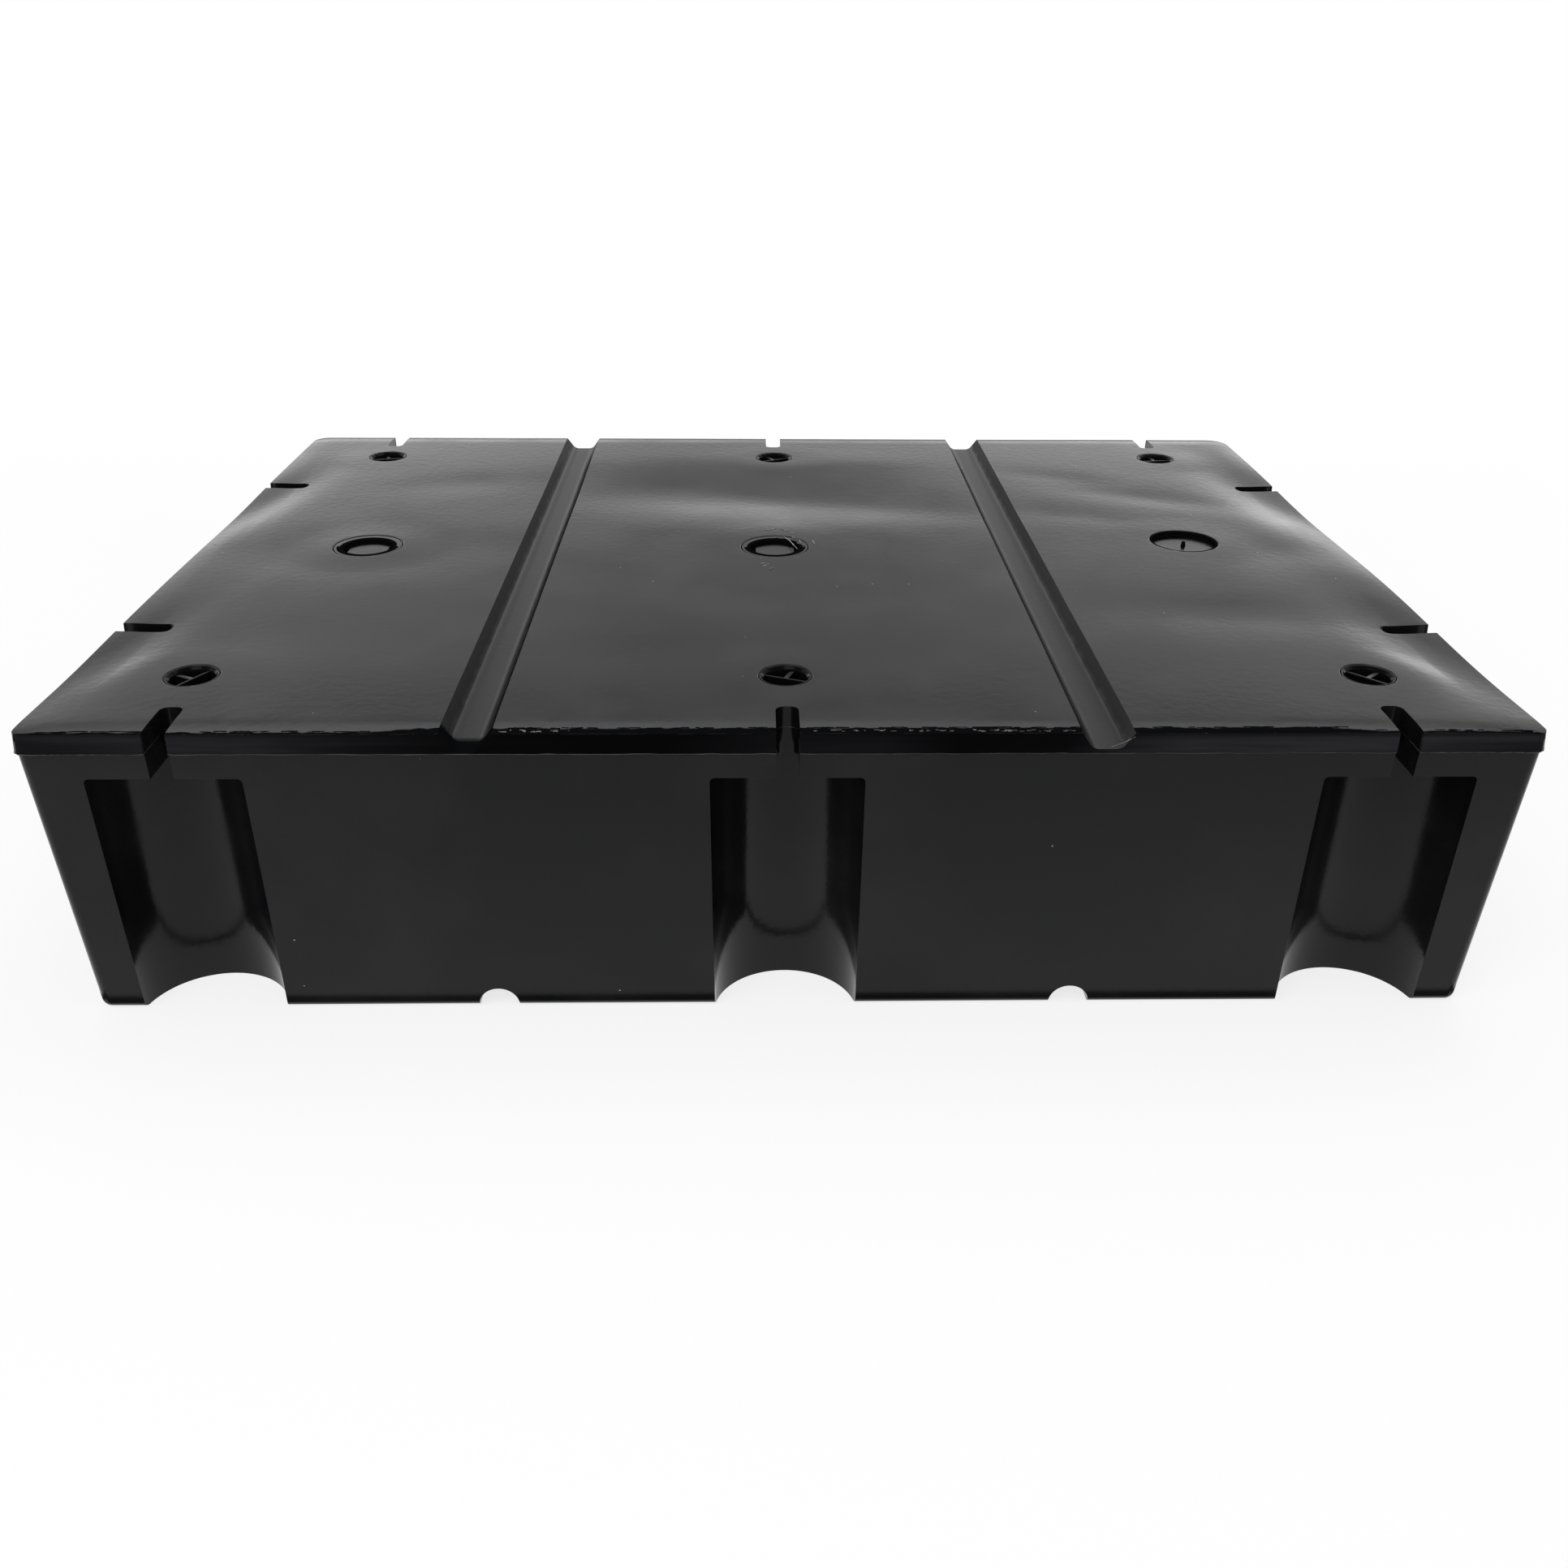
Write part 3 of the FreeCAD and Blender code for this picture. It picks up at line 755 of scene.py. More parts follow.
class FLOATDRUM_OT_shell(bpy.types.Operator):
    """Model the moulded shell with its slots, pockets, grooves, channels and seats"""

    bl_idname = "float_drum.shell"
    bl_label = "Drum shell"

    def execute(self, context):
        shell = make_block()
        slot, pocket = make_slot_cutter(), make_pocket_cutter()
        cutters = []
        for turn, shift in side_places():
            cutters += [turned_copy(slot, turn, shift), turned_copy(pocket, turn, shift)]
        groove_x, channel_x = HALF_X - sizes.groove_inset, HALF_X - sizes.channel_inset
        cutters += [make_groove_cutter(-groove_x, True), make_groove_cutter(groove_x, False),
                    make_channel_cutter(-channel_x), make_channel_cutter(channel_x)]
        cutters += make_seat_cutters()
        remove([slot, pocket])
        combine(shell, cutters, "DIFFERENCE")
        enter_edit(shell)
        bevel(shell, is_seat_edge, sizes.seat_edge, 3)
        bevel(shell, is_outer_edge, sizes.top_edge, 4)
        bevel(shell, is_pocket_edge, sizes.pocket_edge, 3)
        leave_edit()
        divide(shell)
        wave_sheet(shell)
        smooth(shell, 32)
        satin = black_plastic("satin_black_shell", finish.gloss, 0.25, has_worn_strip=True)
        paint(shell, satin, rim_plastic(), edge_plastic(), groove_plastic())
        for index, test in enumerate((is_band, is_rounding, is_groove), 1):
            paint_faces(shell, test, index)
        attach(shell, "root")
        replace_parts(shell, "drum_body")
        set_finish(shell, "drum_shell")
        return {"FINISHED"}


# Finishes


class Graph:
    """The nodes of a material or of the world, and short ways to add to them"""

    def __init__(self, owner, output):
        owner.use_nodes = True
        self.nodes, self.links = owner.node_tree.nodes, owner.node_tree.links
        self.nodes.clear()
        self.output = self.add(output)
        self.place = self.add("TexCoord").outputs

    def add(self, kind, inputs=None, **values):
        """A new node; each input gets another node's socket, a number or a colour."""
        node = self.nodes.new("ShaderNode" + kind)
        for name, value in values.items():
            setattr(node, name, value)
        for key, value in (inputs or {}).items():
            self.put(node.inputs[key], value)
        return node

    def put(self, socket, value):
        if isinstance(value, bpy.types.NodeSocket):
            self.links.new(value, socket)
        else:
            socket.default_value = (*value, 1.0) if socket.type == "RGBA" else value

    def split(self, vector):
        """The three coordinates of a vector, on their own."""
        return self.add("SeparateXYZ", {"Vector": vector}).outputs

    def calculate(self, operation, first, second=0.0):
        """One step of arithmetic, on sockets or numbers."""
        return self.add("Math", {0: first, 1: second}, operation=operation).outputs["Value"]

    def remap(self, value, low, high, to_low=0.0, to_high=1.0):
        return self.add("MapRange", {"Value": value, "From Min": low, "From Max": high, "To Min": to_low,
                                     "To Max": to_high}).outputs["Result"]

    def grain(self, scale, detail):
        """A noise on the piece's own coordinates, in metres."""
        return self.add("TexNoise", {"Vector": self.place["Object"], "Scale": scale,
                                     "Detail": detail}).outputs["Fac"]

    def patches(self, scale, detail, *levels):
        """Patches of a noise: its low and high level, and what these two become."""
        return self.remap(self.grain(scale, detail), *levels)

    def mix(self, factor, first, second):
        """Mixes two colours, either of which may come from another mix."""
        node = self.add("Mix", {"Factor": factor}, data_type="RGBA")
        for socket, value in zip([s for s in node.inputs if s.type == "RGBA"], (first, second)):
            self.put(socket, value)
        return [s for s in node.outputs if s.type == "RGBA"][0]

    def ramp(self, factor, rows):
        """A ramp through rows of a place and a colour."""
        node = self.add("ValToRGB", {"Fac": factor})
        while len(node.color_ramp.elements) < len(rows):
            node.color_ramp.elements.new(0.5)
        for element, (place, tone) in zip(node.color_ramp.elements, rows):
            element.position = place
            element.color = (*tone, 1.0)
        return node.outputs["Color"]

    def plastic(self, tone, roughness, gloss, bump=None):
        """A surface, and where it has a bump, the grain's scale and the bump's strength."""
        surface = self.add("BsdfPrincipled", {"Base Color": tone, "Roughness": roughness,
                                              "Specular IOR Level": gloss})
        if bump:
            scale, strength = bump
            node = self.add("Bump", {"Height": self.grain(scale, 3.0), "Strength": strength,
                                     "Distance": 0.0004})
            self.links.new(node.outputs["Normal"], surface.inputs["Normal"])
        return surface

    def scraped(self, tone):
        return self.plastic(tone, finish.scraped_roughness, 0.0)

    def mix_surfaces(self, factor, first, second):
        """Shows the first surface where the factor is 0 and the second where it is 1."""
        return self.add("MixShader", {0: factor, 1: first.outputs[0], 2: second.outputs[0]})

    def show(self, surface):
        self.links.new(surface.outputs[0], self.output.inputs["Surface"])


def new_material(name):
    material = bpy.data.materials.new(name)
    return material, Graph(material, "OutputMaterial")


def shared(name, make, *values):
    """A material that several pieces have, made the first time."""
    return bpy.data.materials.get(name) or make(name, *values)


def add_specks(graph):
    """Sparse round specks: a spot in the middle of one cell in ten."""
    cells = graph.add("TexVoronoi", {"Vector": graph.place["Object"], "Scale": 55.0})
    spot = graph.remap(cells.outputs["Distance"], 0.045, 0.045 * 0.6)
    tones = graph.add("SeparateColor", {"Color": cells.outputs["Color"]})
    return graph.calculate("MULTIPLY", spot, graph.remap(tones.outputs["Red"], 0.10, 0.10 * 0.98))


def worn_strip(graph):
    """Where the front edge of the sheet is scraped: a strip that is wider in the middle than at the ends."""
    axes = graph.split(graph.place["Object"])
    left = graph.remap(axes["X"], *STRIP_LEFT, STRIP_ENDS, STRIP_MIDDLE)
    right = graph.remap(axes["X"], *STRIP_RIGHT, STRIP_MIDDLE, STRIP_ENDS)
    width = graph.calculate("MINIMUM", left, right)
    ragged = graph.calculate("ADD", axes["Y"], graph.patches(90.0, 3.0, 0.3, 0.7, -0.0012, 0.0012))
    inset = graph.calculate("SUBTRACT", ragged, sizes.bead + sizes.rim_draft - HALF_Y)
    strip = graph.remap(graph.calculate("SUBTRACT", width, inset), -0.0005, 0.0012)
    return graph.calculate("MULTIPLY", strip, graph.calculate("GREATER_THAN", axes["Z"], TOP - 0.009))


def black_plastic(name, gloss, bump, clean=0.0, has_worn_strip=False):
    """Satin black polyethylene, mottled, with pale dust and smudges, of which clean plastic has fewer."""
    material, graph = new_material(name)
    smudges = graph.patches(7.0, 6.0, 0.45, 0.75, 0.0, 1.0 - clean)
    tone = graph.mix(smudges, tuple(c * (1.0 - clean) for c in finish.black), finish.smudge)
    tone = graph.mix(add_specks(graph), tone, finish.dust)
    mottle = graph.patches(14.0, 6.0, 0.3, 0.7, finish.roughness - 0.03, finish.roughness + 0.05)
    surface = graph.plastic(tone, mottle, gloss, (130.0, bump))
    if has_worn_strip:
        surface = graph.mix_surfaces(worn_strip(graph), surface, graph.scraped(finish.black))
    graph.show(surface)
    return material


def scraped_black(name):
    """Black plastic without any shine, for trimmed scraps and the steep faces of the plugs."""
    material, graph = new_material(name)
    graph.show(graph.scraped(finish.black))
    return material


def rim_plastic():
    """The band above the seam: dull, near black in the middle, with a painted reflection that is paler and
    streaky towards the ends and darker near its top.
    """
    material, graph = new_material("trimmed_rim")
    axes = graph.split(graph.place["Object"])
    # Painted reflection: the band is paler towards the ends, as a ramp along X with streaks
    along = graph.ramp(graph.remap(axes["X"], -HALF_X, HALF_X), [(x, (tone,) * 3) for x, tone in RIM_PAINTED_REFLECTION])
    stretched = graph.add("Mapping", {"Vector": graph.place["Object"], "Scale": (6.0, 6.0, 120.0)})
    streaks = graph.add("TexNoise", {"Vector": stretched.outputs["Vector"], "Scale": 1.0})
    streaky_painted_reflection = graph.calculate("MULTIPLY", along, graph.remap(streaks.outputs["Fac"], 0.35, 0.65, 0.55, 1.25))
    # Painted reflection: darker near the band's top, paler lower down
    pale = graph.calculate("MULTIPLY", streaky_painted_reflection, graph.remap(axes["Z"], TOP - 0.003, TOP - 0.006, 0.6, 1.0))
    tone = graph.mix(pale, tuple(c * 0.4 for c in finish.black), finish.rim_painted_reflection_grey)
    graph.show(graph.plastic(tone, finish.rim_roughness, finish.rim_gloss))
    return material


def edge_plastic():
    """The rounded edge of the sheet: mostly scraped dull, with glossy stretches and pale chips."""
    material, graph = new_material("trimmed_edge")
    glossy = graph.plastic(finish.black, finish.roughness + 0.05, finish.gloss, (300.0, 0.8))
    chips, torn = graph.patches(420.0, 2.0, 0.62, 0.68), graph.patches(9.0, 2.0, 0.50, 0.60)
    dull = graph.scraped(graph.mix(graph.calculate("MULTIPLY", chips, torn), finish.black, finish.crumb))
    graph.show(graph.mix_surfaces(graph.patches(60.0, 4.0, 0.50, 0.58), dull, glossy))
    return material


def groove_plastic():
    """The grooves: scraped dull at the sheet and at the left one's spout, satin towards floor and back."""
    material, graph = new_material("groove_plastic")
    axes = graph.split(graph.place["Object"])
    height = graph.calculate("ADD", axes["Z"], graph.patches(45.0, 4.0, 0.3, 0.7, -0.0015, 0.0015))
    floor_z = TOP - sizes.shrink - sizes.groove_depth
    groove_x = HALF_X - sizes.groove_inset
    outward = graph.calculate("ABSOLUTE", axes["X"])
    shine = graph.remap(height, TOP - 0.004, floor_z + 0.003, 0.12, 1.0)
    for part in (graph.remap(outward, groove_x + 0.004, groove_x + 0.010, 0.0, 0.55),
                 graph.remap(axes["Y"], 0.05, 0.45, 0.0, 0.5)):
        shine = graph.calculate("MAXIMUM", shine, part)
    behind_spout = graph.remap(axes["Y"], sizes.spout_length * 0.75 - HALF_Y, sizes.spout_length - HALF_Y)
    inside = graph.calculate("MAXIMUM", behind_spout, graph.calculate("GREATER_THAN", axes["X"], 0.0))
    satin = graph.plastic(finish.black, finish.groove_roughness, finish.gloss * 0.85, (130.0, 0.25))
    shine = graph.calculate("MULTIPLY", shine, inside)
    graph.show(graph.mix_surfaces(shine, graph.scraped(finish.black), satin))
    return material


def pale_scrap(name, tone):
    """Thin flash and torn film, which catch the light."""
    material, graph = new_material(name)
    patchy = graph.mix(graph.patches(160.0, 3.0, 0.4, 0.62), tuple(c * 0.2 for c in tone), tone)
    graph.show(graph.plastic(patchy, finish.scrap_roughness, 0.5))
    return material


# The thin ridge that the two halves of the mould left


def is_seam(edge):
    """An edge at the seam's height, on the band's face or in a slot, and not under the band."""
    if not lies_at(edge, TOP - sizes.rim_height) or near_plug(mid(edge), SINK):
        return False
    inset = sizes.bead + sizes.seam_step
    return not any(abs(abs(mid(edge)[axis]) - half + inset) < 2.0 * HAIR and span(edge, axis) < HAIR
                   for axis, half in ((0, HALF_X), (1, HALF_Y)))


def lift_seam():
    """A piece of its own from the shell's edges along the seam."""
    activate(bpy.data.objects["drum_shell"])
    bpy.ops.object.duplicate()
    copy = bpy.context.active_object
    enter_edit(copy)
    pick(copy, "EDGE", is_seam)
    bpy.ops.mesh.duplicate()
    bpy.ops.mesh.separate(type="SELECTED")
    leave_edit()
    ridge = [piece for piece in bpy.context.selected_objects if piece != copy][0]
    remove([copy])
    activate(ridge)
    ridge.name = "seam_ridge"
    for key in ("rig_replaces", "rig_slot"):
        if key in ridge:
            del ridge[key]
    return ridge


def roughen(point):
    """Makes the ridge uneven at one of its points, and swells a few points at the drum's corners."""
    place = point.co.xyz * RIDGE_CELLS
    corner = abs(point.co.x) > HALF_X - 0.02 and abs(point.co.y) > HALF_Y - 0.02
    swollen = corner and noise.cell(place + Vector((0.0, 0.0, 50.0))) < -0.4
    point.radius = 1.0 if swollen else RIDGE_RADIUS + RIDGE_CHANGE * noise.cell(place)
    point.co.z += RIDGE_WAVER * noise.cell(place + Vector((0.0, 0.0, 90.0)))


class FLOATDRUM_OT_seam(bpy.types.Operator):
    """Run a thin uneven ridge along the seam, round the drum and through its slots"""

    bl_idname = "float_drum.seam"
    bl_label = "Seam ridge"

    def execute(self, context):
        ridge = lift_seam()
        bpy.ops.object.convert(target="CURVE")
        ridge.data.bevel_depth = sizes.bead
        ridge.data.bevel_resolution = 1
        for spline in ridge.data.splines:
            for point in spline.points:
                roughen(point)
        bpy.ops.object.convert(target="MESH")
        paint(ridge, pale_scrap("seam_flash", finish.flash))
        bpy.ops.object.shade_smooth()
        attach(ridge, "root")
        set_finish(ridge, "drum_shell")
        return {"FINISHED"}


# Torn film, crumbs and burrs that the trimming left


def add_strand(points, thick, draws):
    """A thin uneven strand along a line of points."""
    strand = draw_line("strand", points)
    leave_edit()
    bpy.ops.object.convert(target="CURVE")
    strand.data.bevel_depth = thick
    strand.data.bevel_resolution = 0
    strand.data.use_fill_caps = True
    for point in strand.data.splines[0].points:
        point.radius = draws.uniform(0.6, 1.0)
    bpy.ops.object.convert(target="MESH")
    return strand


def add_edge_strand(x, reach, inset, thick, draws):
    """A short strand that lies on the rounded front edge of the sheet."""
    y = inset - (HALF_Y - sizes.bead - sizes.rim_draft)
    across = max(0.0, sizes.top_edge - inset)
    fall = sizes.top_edge - math.sqrt(sizes.top_edge ** 2 - across ** 2)
    z = TOP - sunk(Vector((x, y, TOP)), sheet_dips()) - fall
    middle = (x + reach * 0.5, y + draws.uniform(-0.0003, 0.0003), z)
    return add_strand([(x, y, z), middle, (x + reach, y, z)], thick, draws)


def add_threads(draws):
    """The torn threads on and beside the middle plug."""
    threads = []
    for line in PLUG_THREADS:
        thick = draws.uniform(0.0004, 0.00055)
        points = [(PLUGS["fill_plug_centre"][0].x + x, y, TOP - thick) for x, y in line]
        threads.append(add_strand(points, thick, draws))
    return threads


def add_crumbs(draws):
    """The pale crumbs on the front edge."""
    crumbs = []
    for count, low, high in CRUMB_STRETCHES:
        for _ in range(count):
            thick = draws.uniform(0.0003, 0.0007)
            crumbs.append(add_edge_strand(draws.uniform(low, high), draws.uniform(0.0010, 0.0050),
                                          draws.uniform(0.0030, 0.0060), thick, draws))
    return crumbs


def add_dashes(draws):
    """The dull dashes along the inner edge of the scraped strip."""
    dashes = []
    for count, low, high in DASH_STRETCHES:
        for _ in range(count):
            thick = draws.uniform(0.0004, 0.0007)
            x = draws.uniform(low, high)
            inset = DASH_MIDDLE if DASH_LEFT < x < DASH_RIGHT else DASH_ENDS
            dashes.append(add_edge_strand(x, draws.uniform(0.003, 0.012), inset + draws.uniform(0.0, 0.0012),
                                          thick, draws))
    return dashes


def add_burrs(groove_x, draws):
    """The short burrs along the grooves' edges."""
    burrs = []
    for side in (-1.0, 1.0):
        for edge, count in ((-1.0, 26), (1.0, 12)):
            x = side * (groove_x + edge * (sizes.groove_width / 2.0 + 0.0006))
            for _ in range(count):
                y = draws.uniform(-HALF_Y + 0.006, HALF_Y * 0.6)
                reach = draws.uniform(0.001, 0.005)
                z = TOP - 0.0011 - sunk(Vector((x, y, TOP)), sheet_dips())
                line = [(x + draws.uniform(-0.0006, 0.0006), y, z), (x, y + reach, z)]
                burrs.append(add_strand(line, draws.uniform(0.0004, 0.0008), draws))
    return burrs


def join_strands(name, strands, material):
    activate(strands[0])
    for strand in strands:
        strand.select_set(True)
    bpy.ops.object.join()
    piece = bpy.context.active_object
    piece.name = name
    paint(piece, material)
    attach(piece, "root")
    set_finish(piece, "drum_shell")


class FLOATDRUM_OT_scraps(bpy.types.Operator):
    """Add the torn threads by the middle plug, the crumbs along the front edge and the grooves' burrs"""

    bl_idname = "float_drum.scraps"
    bl_label = "Trimming scraps"

    def execute(self, context):
        draws = random.Random(5)
        scraped = shared("scraped_black", scraped_black)
        join_strands("plug_threads", add_threads(draws), pale_scrap("torn_film", finish.film))
        crumbs = add_crumbs(draws)
        join_strands("edge_dashes", add_dashes(draws), scraped)
        front = -(HALF_Y - sizes.bead - sizes.rim_draft)
        groove_x = HALF_X - sizes.groove_inset
        crumbs.append(add_strand([(groove_x + 0.003, front, TOP - sizes.groove_depth + 0.001),
                                  (groove_x + 0.013, front, TOP - 0.010),
                                  (groove_x + 0.021, front, TOP - 0.005)], 0.0005, draws))
        join_strands("edge_crumbs", crumbs, pale_scrap("pale_crumbs", finish.crumb))
        join_strands("groove_burrs", add_burrs(groove_x, draws), scraped)
        return {"FINISHED"}


# The plugs


def is_scraped(face, node):
    """A dull face of a plug: a steep one, the flush plug's lip or the ring round a hexagonal head."""
    middle, radius = PLUGS[node]
    place = face.calc_center_median()
    if node in VENT_TURNS:
        return face.normal.z < 0.6
    if node == FLUSH_PLUG:
        return face.normal.z < 0.97 or place.z > TOP - 2.0 * plugs.lip_drop
    trench = radius - sizes.fill_ledge - plugs.neck_wall
    worn = plugs.worn_front if place.y < middle.y else plugs.worn_ring
    return face.normal.z < 0.97 or trench - HAIR < (place.xy - middle.xy).length < trench + worn


def finish_plug(piece, node, turn, slot, gloss):
    """Turns a plug, puts it in its seat and gives it its plastic."""
    activate(piece)
    piece.rotation_euler = (0.0, 0.0, math.radians(turn))
    piece.location = PLUGS[node][0]
    apply_place(piece)
    smooth(piece, 35)
    paint(piece, shared(slot + "_plastic", black_plastic, gloss, 0.2, 0.7),
          shared("scraped_black", scraped_black))
    paint_faces(piece, lambda face: is_scraped(face, node), 1)
    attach(piece, "root")
    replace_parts(piece, node)
    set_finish(piece, slot)


def neck_points(radius):
    """Radius and height pairs of a large plug's neck and the underside of its flange."""
    neck, seat = radius - sizes.fill_ledge, TOP - sizes.fill_seat
    end = TOP - sizes.fill_bore + plugs.neck_gap
    return [(0.0, end), (neck, end), (neck, seat), (radius, seat)]


def make_hex_plug(node):
    """A flat flange, a trench and a hexagonal head in the middle."""
    radius = PLUGS[node][1]
    trench_r = radius - sizes.fill_ledge - plugs.neck_wall
    flange_z, trench_z, head_z = TOP - plugs.flange_drop, TOP - plugs.trench, TOP - plugs.hex_drop
    rings = (radius, trench_r + plugs.worn_front, trench_r + plugs.worn_ring, trench_r)
    plug = lathe(node + "_turned", neck_points(radius) + [(ring, flange_z) for ring in rings]
                 + [(trench_r, trench_z), (0.0, trench_z)])
    round_ring(plug, radius, flange_z, 0.0006)
    round_ring(plug, trench_r, flange_z, plugs.trench_round, 5)
    corner = plugs.hex_flats / 2.0 / math.cos(math.radians(30))
    head = add_cylinder("head", Vector((0.0, 0.0, 0.0)), corner, trench_z - SINK, head_z, 6)
    enter_edit(head)
    bpy.ops.mesh.select_all(action="SELECT")
    bpy.ops.transform.rotate(value=math.radians(-90), orient_axis="Z", center_override=(0.0, 0.0, 0.0))
    bevel(head, is_upright, plugs.hex_corner, 4)
    bevel(head, lambda e: lies_at(e, head_z), plugs.hex_edge, 3)
    leave_edit()
    combine(plug, [head], "UNION")
    return plug


def make_flush_plug(node):
    """A flat sunk face inside a thin lip, with the moulding's nib in its middle."""
    radius = PLUGS[node][1]
    face_r, nib_r = radius - plugs.flush_lip, plugs.nib * 0.7
    lip_z = TOP - plugs.lip_drop
    face_z = TOP - sizes.fill_seat + plugs.flush_plate
    nib_z = face_z + plugs.nib_height
    plug = lathe(node + "_turned", neck_points(radius) + [(radius, lip_z), (face_r, lip_z), (face_r, face_z),
                                                          (plugs.nib, face_z), (nib_r, nib_z), (0.0, nib_z)])
    round_ring(plug, radius, lip_z, plugs.lip_edge)
    round_ring(plug, face_r, lip_z, plugs.lip_edge)
    round_ring(plug, face_r, face_z, 0.0010)
    round_ring(plug, nib_r, nib_z, 0.0008)
    return plug


def make_vent_plug(node):
    """A cup with a lip and a funnel, a web across it and one rib to the wall."""
    radius = PLUGS[node][1]
    mouth = radius - plugs.vent_lip
    cup = mouth - plugs.vent_funnel
    end, lip_z, web_z = TOP - sizes.vent_seat, TOP - plugs.lip_drop, TOP - plugs.web_drop
    cup_z, floor_z = lip_z - plugs.vent_funnel, end + plugs.vent_floor
    plug = lathe(node + "_turned", [(0.0, end), (radius, end), (radius, lip_z), (mouth, lip_z), (cup, cup_z),
                                    (cup, floor_z), (0.0, floor_z)])
    round_ring(plug, radius, lip_z, plugs.lip_edge)
    round_ring(plug, mouth, lip_z, plugs.lip_edge)
    round_ring(plug, cup, cup_z, 0.0010)
    reach, foot = cup + SINK, floor_z - SINK
    web = add_box("web", (-reach, -plugs.web / 2.0, foot), (reach, plugs.web / 2.0, web_z))
    rib = add_box("rib", (-plugs.rib / 2.0, 0.0, foot), (plugs.rib / 2.0, reach, web_z - HAIR))
    for bar in (web, rib):
        enter_edit(bar)
        bevel(bar, lambda e: mid(e).z > web_z - 2.0 * HAIR
              and max(abs(mid(e).x), abs(mid(e).y)) < reach - HAIR, 0.0006, 2)
        leave_edit()
    combine(plug, [web, rib], "UNION")
    return plug


class FLOATDRUM_OT_fill_plugs(bpy.types.Operator):
    """Model the two hexagonal plugs and the flush one"""

    bl_idname = "float_drum.fill_plugs"
    bl_label = "Fill plugs"

    def execute(self, context):
        for node, turn in HEX_TURNS.items():
            finish_plug(make_hex_plug(node), node, turn, "fill_plug", finish.fill_gloss)
        finish_plug(make_flush_plug(FLUSH_PLUG), FLUSH_PLUG, 0.0, "fill_plug", finish.fill_gloss)
        return {"FINISHED"}


class FLOATDRUM_OT_vent_plugs(bpy.types.Operator):
    """Model the six cup plugs"""

    bl_idname = "float_drum.vent_plugs"
    bl_label = "Vent plugs"

    def execute(self, context):
        for node, turn in VENT_TURNS.items():
            finish_plug(make_vent_plug(node), node, turn, "vent_plug", finish.vent_gloss)
        return {"FINISHED"}


# The studio


def aim_camera():
    pitch, yaw, roll = studio.pitch, studio.yaw, studio.roll
    forward = Vector((math.sin(yaw) * math.cos(pitch), math.cos(yaw) * math.cos(pitch), -math.sin(pitch)))
    right = Vector((math.cos(yaw), -math.sin(yaw), 0.0))
    down = forward.cross(right)
    across = math.cos(roll) * right + math.sin(roll) * down
    up = math.sin(roll) * right - math.cos(roll) * down
    bpy.ops.object.camera_add(location=studio.place)
    camera = bpy.context.active_object
    matrix = camera.matrix_world.copy()
    for column, direction in enumerate((across, up, -forward)):
        for row in range(3):
            matrix[row][column] = direction[row]
    camera.matrix_world = matrix
    camera.data.sensor_fit = "HORIZONTAL"
    camera.data.sensor_width = 36.0
    camera.data.lens = camera.data.sensor_width * studio.focal_pixels / studio.photo_pixels
    camera.data.clip_end = 200.0
    bpy.context.scene.camera = camera


def seen_directly(path):
    """The rays that see a thing straight or through glass."""
    return path["Is Camera Ray"], path["Is Transmission Ray"]


def light_room():
    """White for the camera, a soft room for reflections and an even grey for the rest."""
    world = bpy.data.worlds.new("studio")
    bpy.context.scene.world = world
    graph = Graph(world, "OutputWorld")
    axes = graph.split(graph.place["Generated"])
    rows = [(math.sin(math.radians(height)), (ahead, sideways, 0.0))
            for height, ahead, sideways in ROOM_TONES]
    tones = graph.add("SeparateColor", {"Color": graph.ramp(axes["Z"], rows)}).outputs
    turned = graph.remap(graph.calculate("ABSOLUTE", axes["X"]), 0.06, 0.42)
    more = graph.calculate("MULTIPLY", graph.calculate("SUBTRACT", tones["Green"], tones["Red"]), turned)
    mirrored = graph.calculate("MULTIPLY", graph.calculate("ADD", tones["Red"], more), studio.bright)
    white, mirror, room = [graph.add("Background", {"Color": (1.0, 1.0, 1.0), "Strength": strength})
                           for strength in (1.0, mirrored, studio.surround)]
    path = graph.add("LightPath").outputs
    rest = graph.mix_surfaces(path["Is Glossy Ray"], room, mirror)
    graph.show(graph.mix_surfaces(graph.calculate("MAXIMUM", *seen_directly(path)), rest, white))


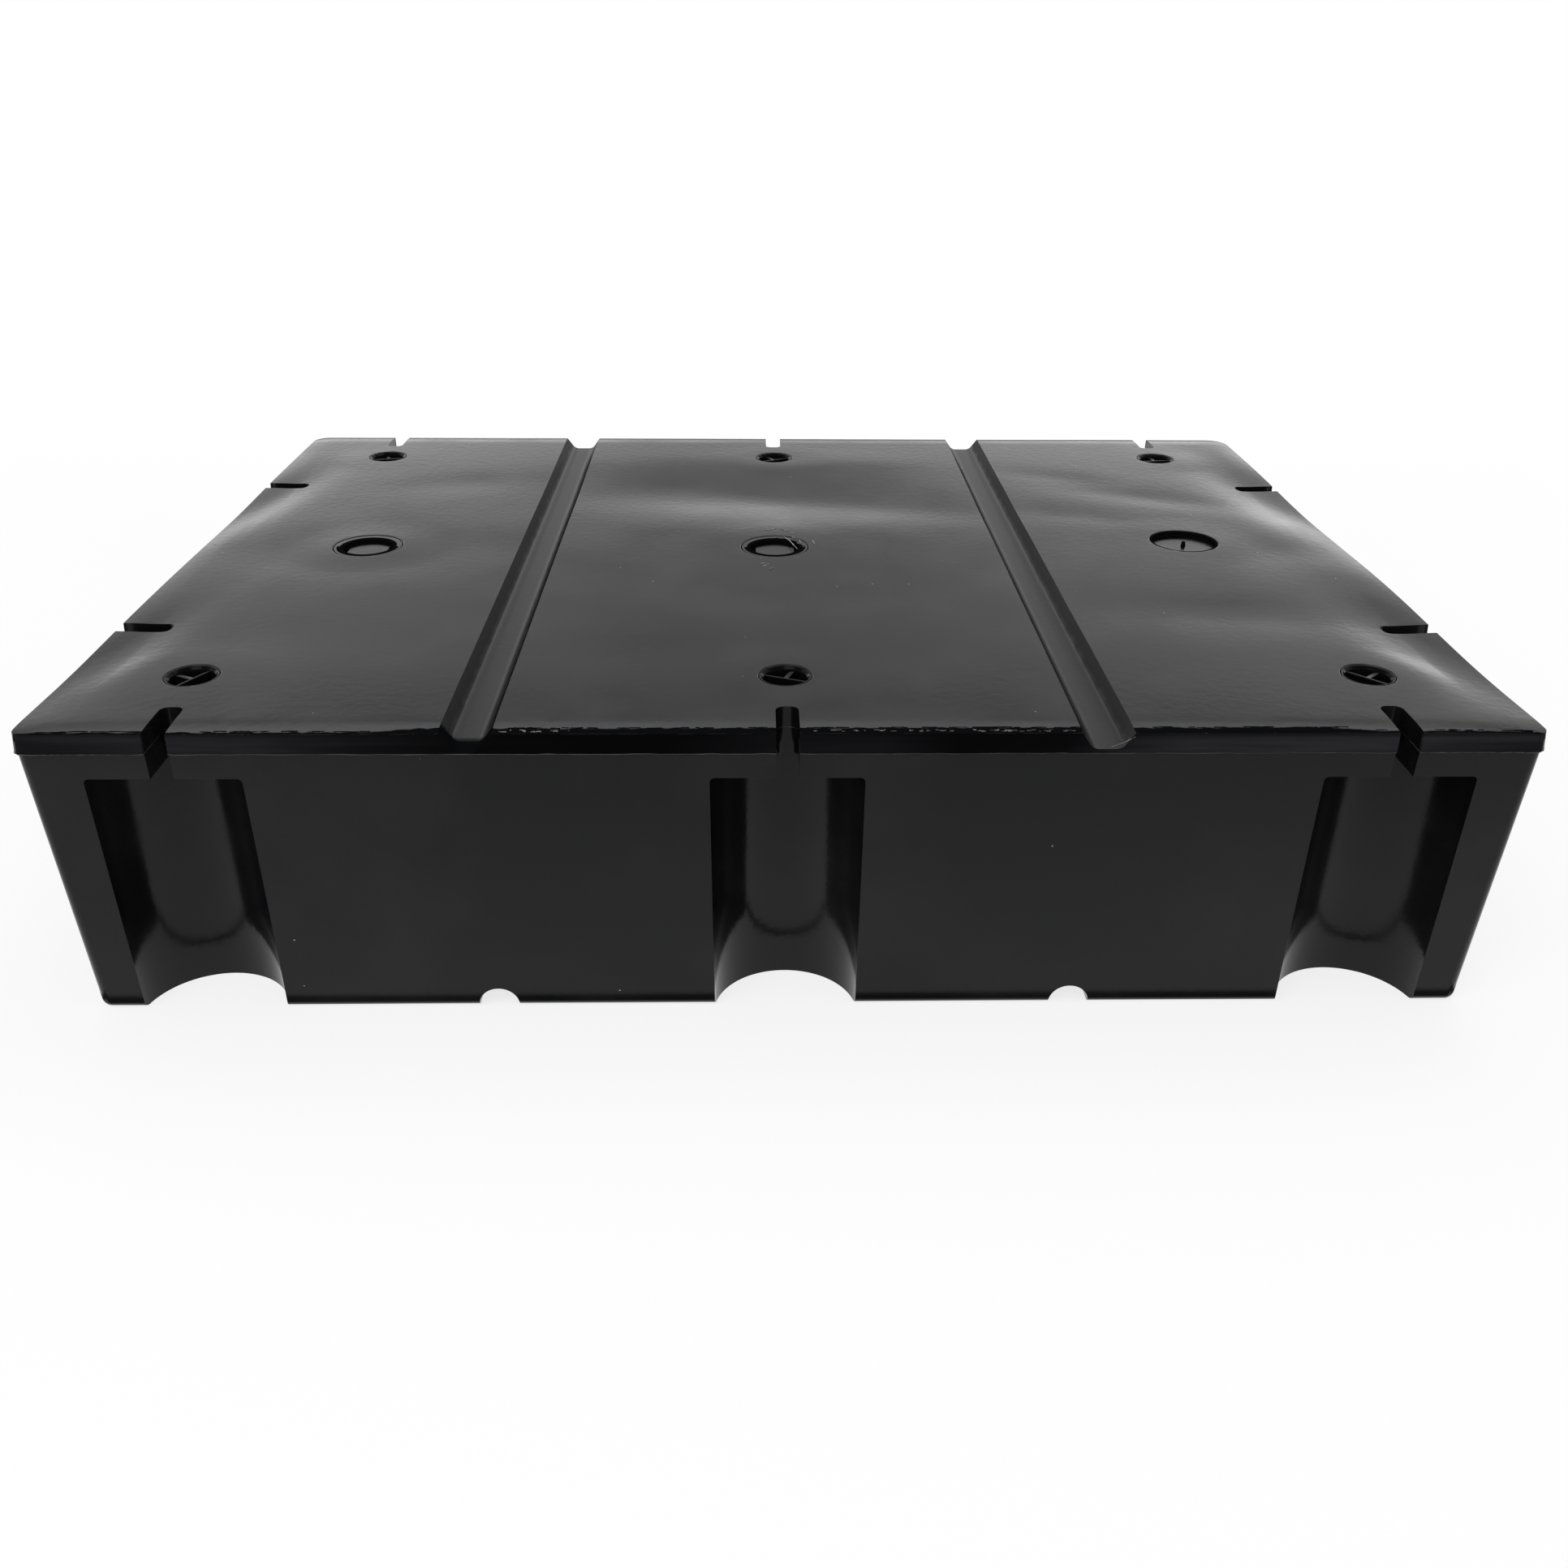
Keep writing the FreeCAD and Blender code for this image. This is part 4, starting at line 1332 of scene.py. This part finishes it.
def floor_paint():
    """Pale floor that keeps a soft shadow near the drum and turns white further out. As reflections see it,
    the floor glows with painted light, brighter near the drum and dimmer further out, and has a painted
    contact shadow round the drum's foot.
    """
    material, graph = new_material("pale_floor")
    axes = graph.split(graph.place["Object"])
    gaps = [graph.calculate("SUBTRACT", graph.calculate("ABSOLUTE", axes[axis]), half)
            for axis, half in (("X", HALF_X), ("Y", HALF_Y))]
    gap = graph.calculate("MAXIMUM", *gaps)
    path = graph.add("LightPath").outputs
    from_edge = graph.calculate("ABSOLUTE", graph.calculate("ADD", gap, 0.003))
    # Painted contact shadow round the drum's foot, in what reflections see of the floor
    painted_contact_shadow = graph.remap(from_edge, 0.003, 0.008, 0.1, 1.0)
    # Painted light in reflections: the floor glows brighter near the drum and dimmer further out
    mirrored = graph.calculate("MULTIPLY", painted_contact_shadow, graph.remap(gap, 0.05, 0.55, 1.15, 0.78))
    painted_light_and_shade = graph.calculate("MULTIPLY", graph.calculate("SUBTRACT", mirrored, 1.0), path["Is Glossy Ray"])
    white = graph.add("Emission", {"Strength": graph.calculate("ADD", painted_light_and_shade, 1.0)})
    seen = graph.calculate("MULTIPLY", graph.calculate("MAXIMUM", *seen_directly(path)),
                           graph.remap(gap, 0.0, 1.0, 0.78, 1.0))
    seen = graph.calculate("MAXIMUM", seen, path["Is Glossy Ray"])
    graph.show(graph.mix_surfaces(seen, graph.plastic(studio.floor, 0.8, 0.1), white))
    return material


def add_softbox(name, place, size, power):
    """A square lamp that points at the drum."""
    target = Vector((0.0, 0.0, 0.1))
    bpy.ops.object.light_add(type="AREA", location=place)
    lamp = bpy.context.active_object
    lamp.name = name
    lamp.data.shape = "RECTANGLE"
    lamp.data.size = size
    lamp.data.size_y = size
    lamp.data.energy = power * studio.lamps
    lamp.rotation_euler = (target - Vector(place)).to_track_quat("-Z", "Y").to_euler()


class FLOATDRUM_OT_studio(bpy.types.Operator):
    """Set up the floor, the soft lamps and the camera"""

    bl_idname = "float_drum.studio"
    bl_label = "Studio"

    def execute(self, context):
        bpy.ops.mesh.primitive_circle_add(vertices=96, radius=60.0, fill_type="NGON", location=(0, 0, 0))
        floor = bpy.context.active_object
        floor.name = "floor"
        paint(floor, floor_paint())
        light_room()
        add_softbox("front_softbox", (-1.0, -2.2, 3.0), 2.2, 45.0)
        add_softbox("top_softbox", (0.9, 0.9, 3.2), 1.6, 18.0)
        aim_camera()
        context.scene.view_settings.view_transform = "Standard"
        return {"FINISHED"}


class FLOATDRUM_PT_panel(bpy.types.Panel):
    """Lists the pieces of the drum and their sizes"""

    bl_idname = "FLOATDRUM_PT_panel"
    bl_label = "Dock float drum"
    bl_space_type = "VIEW_3D"
    bl_region_type = "UI"
    bl_category = "Float drum"

    def draw(self, context):
        for operator in OPERATORS:
            self.layout.operator(operator.bl_idname)
        for name, group in GROUPS.items():
            box = self.layout.box()
            for key in group.__annotations__:
                box.prop(getattr(context.scene, name), key)


GROUPS = {
    "float_drum_shell": ShellSizes,
    "float_drum_plugs": PlugSizes,
    "float_drum_finish": FinishColours,
    "float_drum_studio": StudioSettings,
}
OPERATORS = (FLOATDRUM_OT_shell, FLOATDRUM_OT_seam, FLOATDRUM_OT_scraps, FLOATDRUM_OT_fill_plugs,
             FLOATDRUM_OT_vent_plugs, FLOATDRUM_OT_studio)
CLASSES = tuple(GROUPS.values()) + OPERATORS + (FLOATDRUM_PT_panel,)


def register():
    for cls in CLASSES:
        bpy.utils.register_class(cls)
    for name, group in GROUPS.items():
        setattr(bpy.types.Scene, name, PointerProperty(type=group))


def unregister():
    for name in GROUPS:
        delattr(bpy.types.Scene, name)
    for cls in reversed(CLASSES):
        bpy.utils.unregister_class(cls)


def main():
    register()
    bpy.ops.float_drum.shell()
    bpy.ops.float_drum.seam()
    bpy.ops.float_drum.scraps()
    bpy.ops.float_drum.fill_plugs()
    bpy.ops.float_drum.vent_plugs()
    bpy.ops.float_drum.studio()


if __name__ == "__main__":
    main()
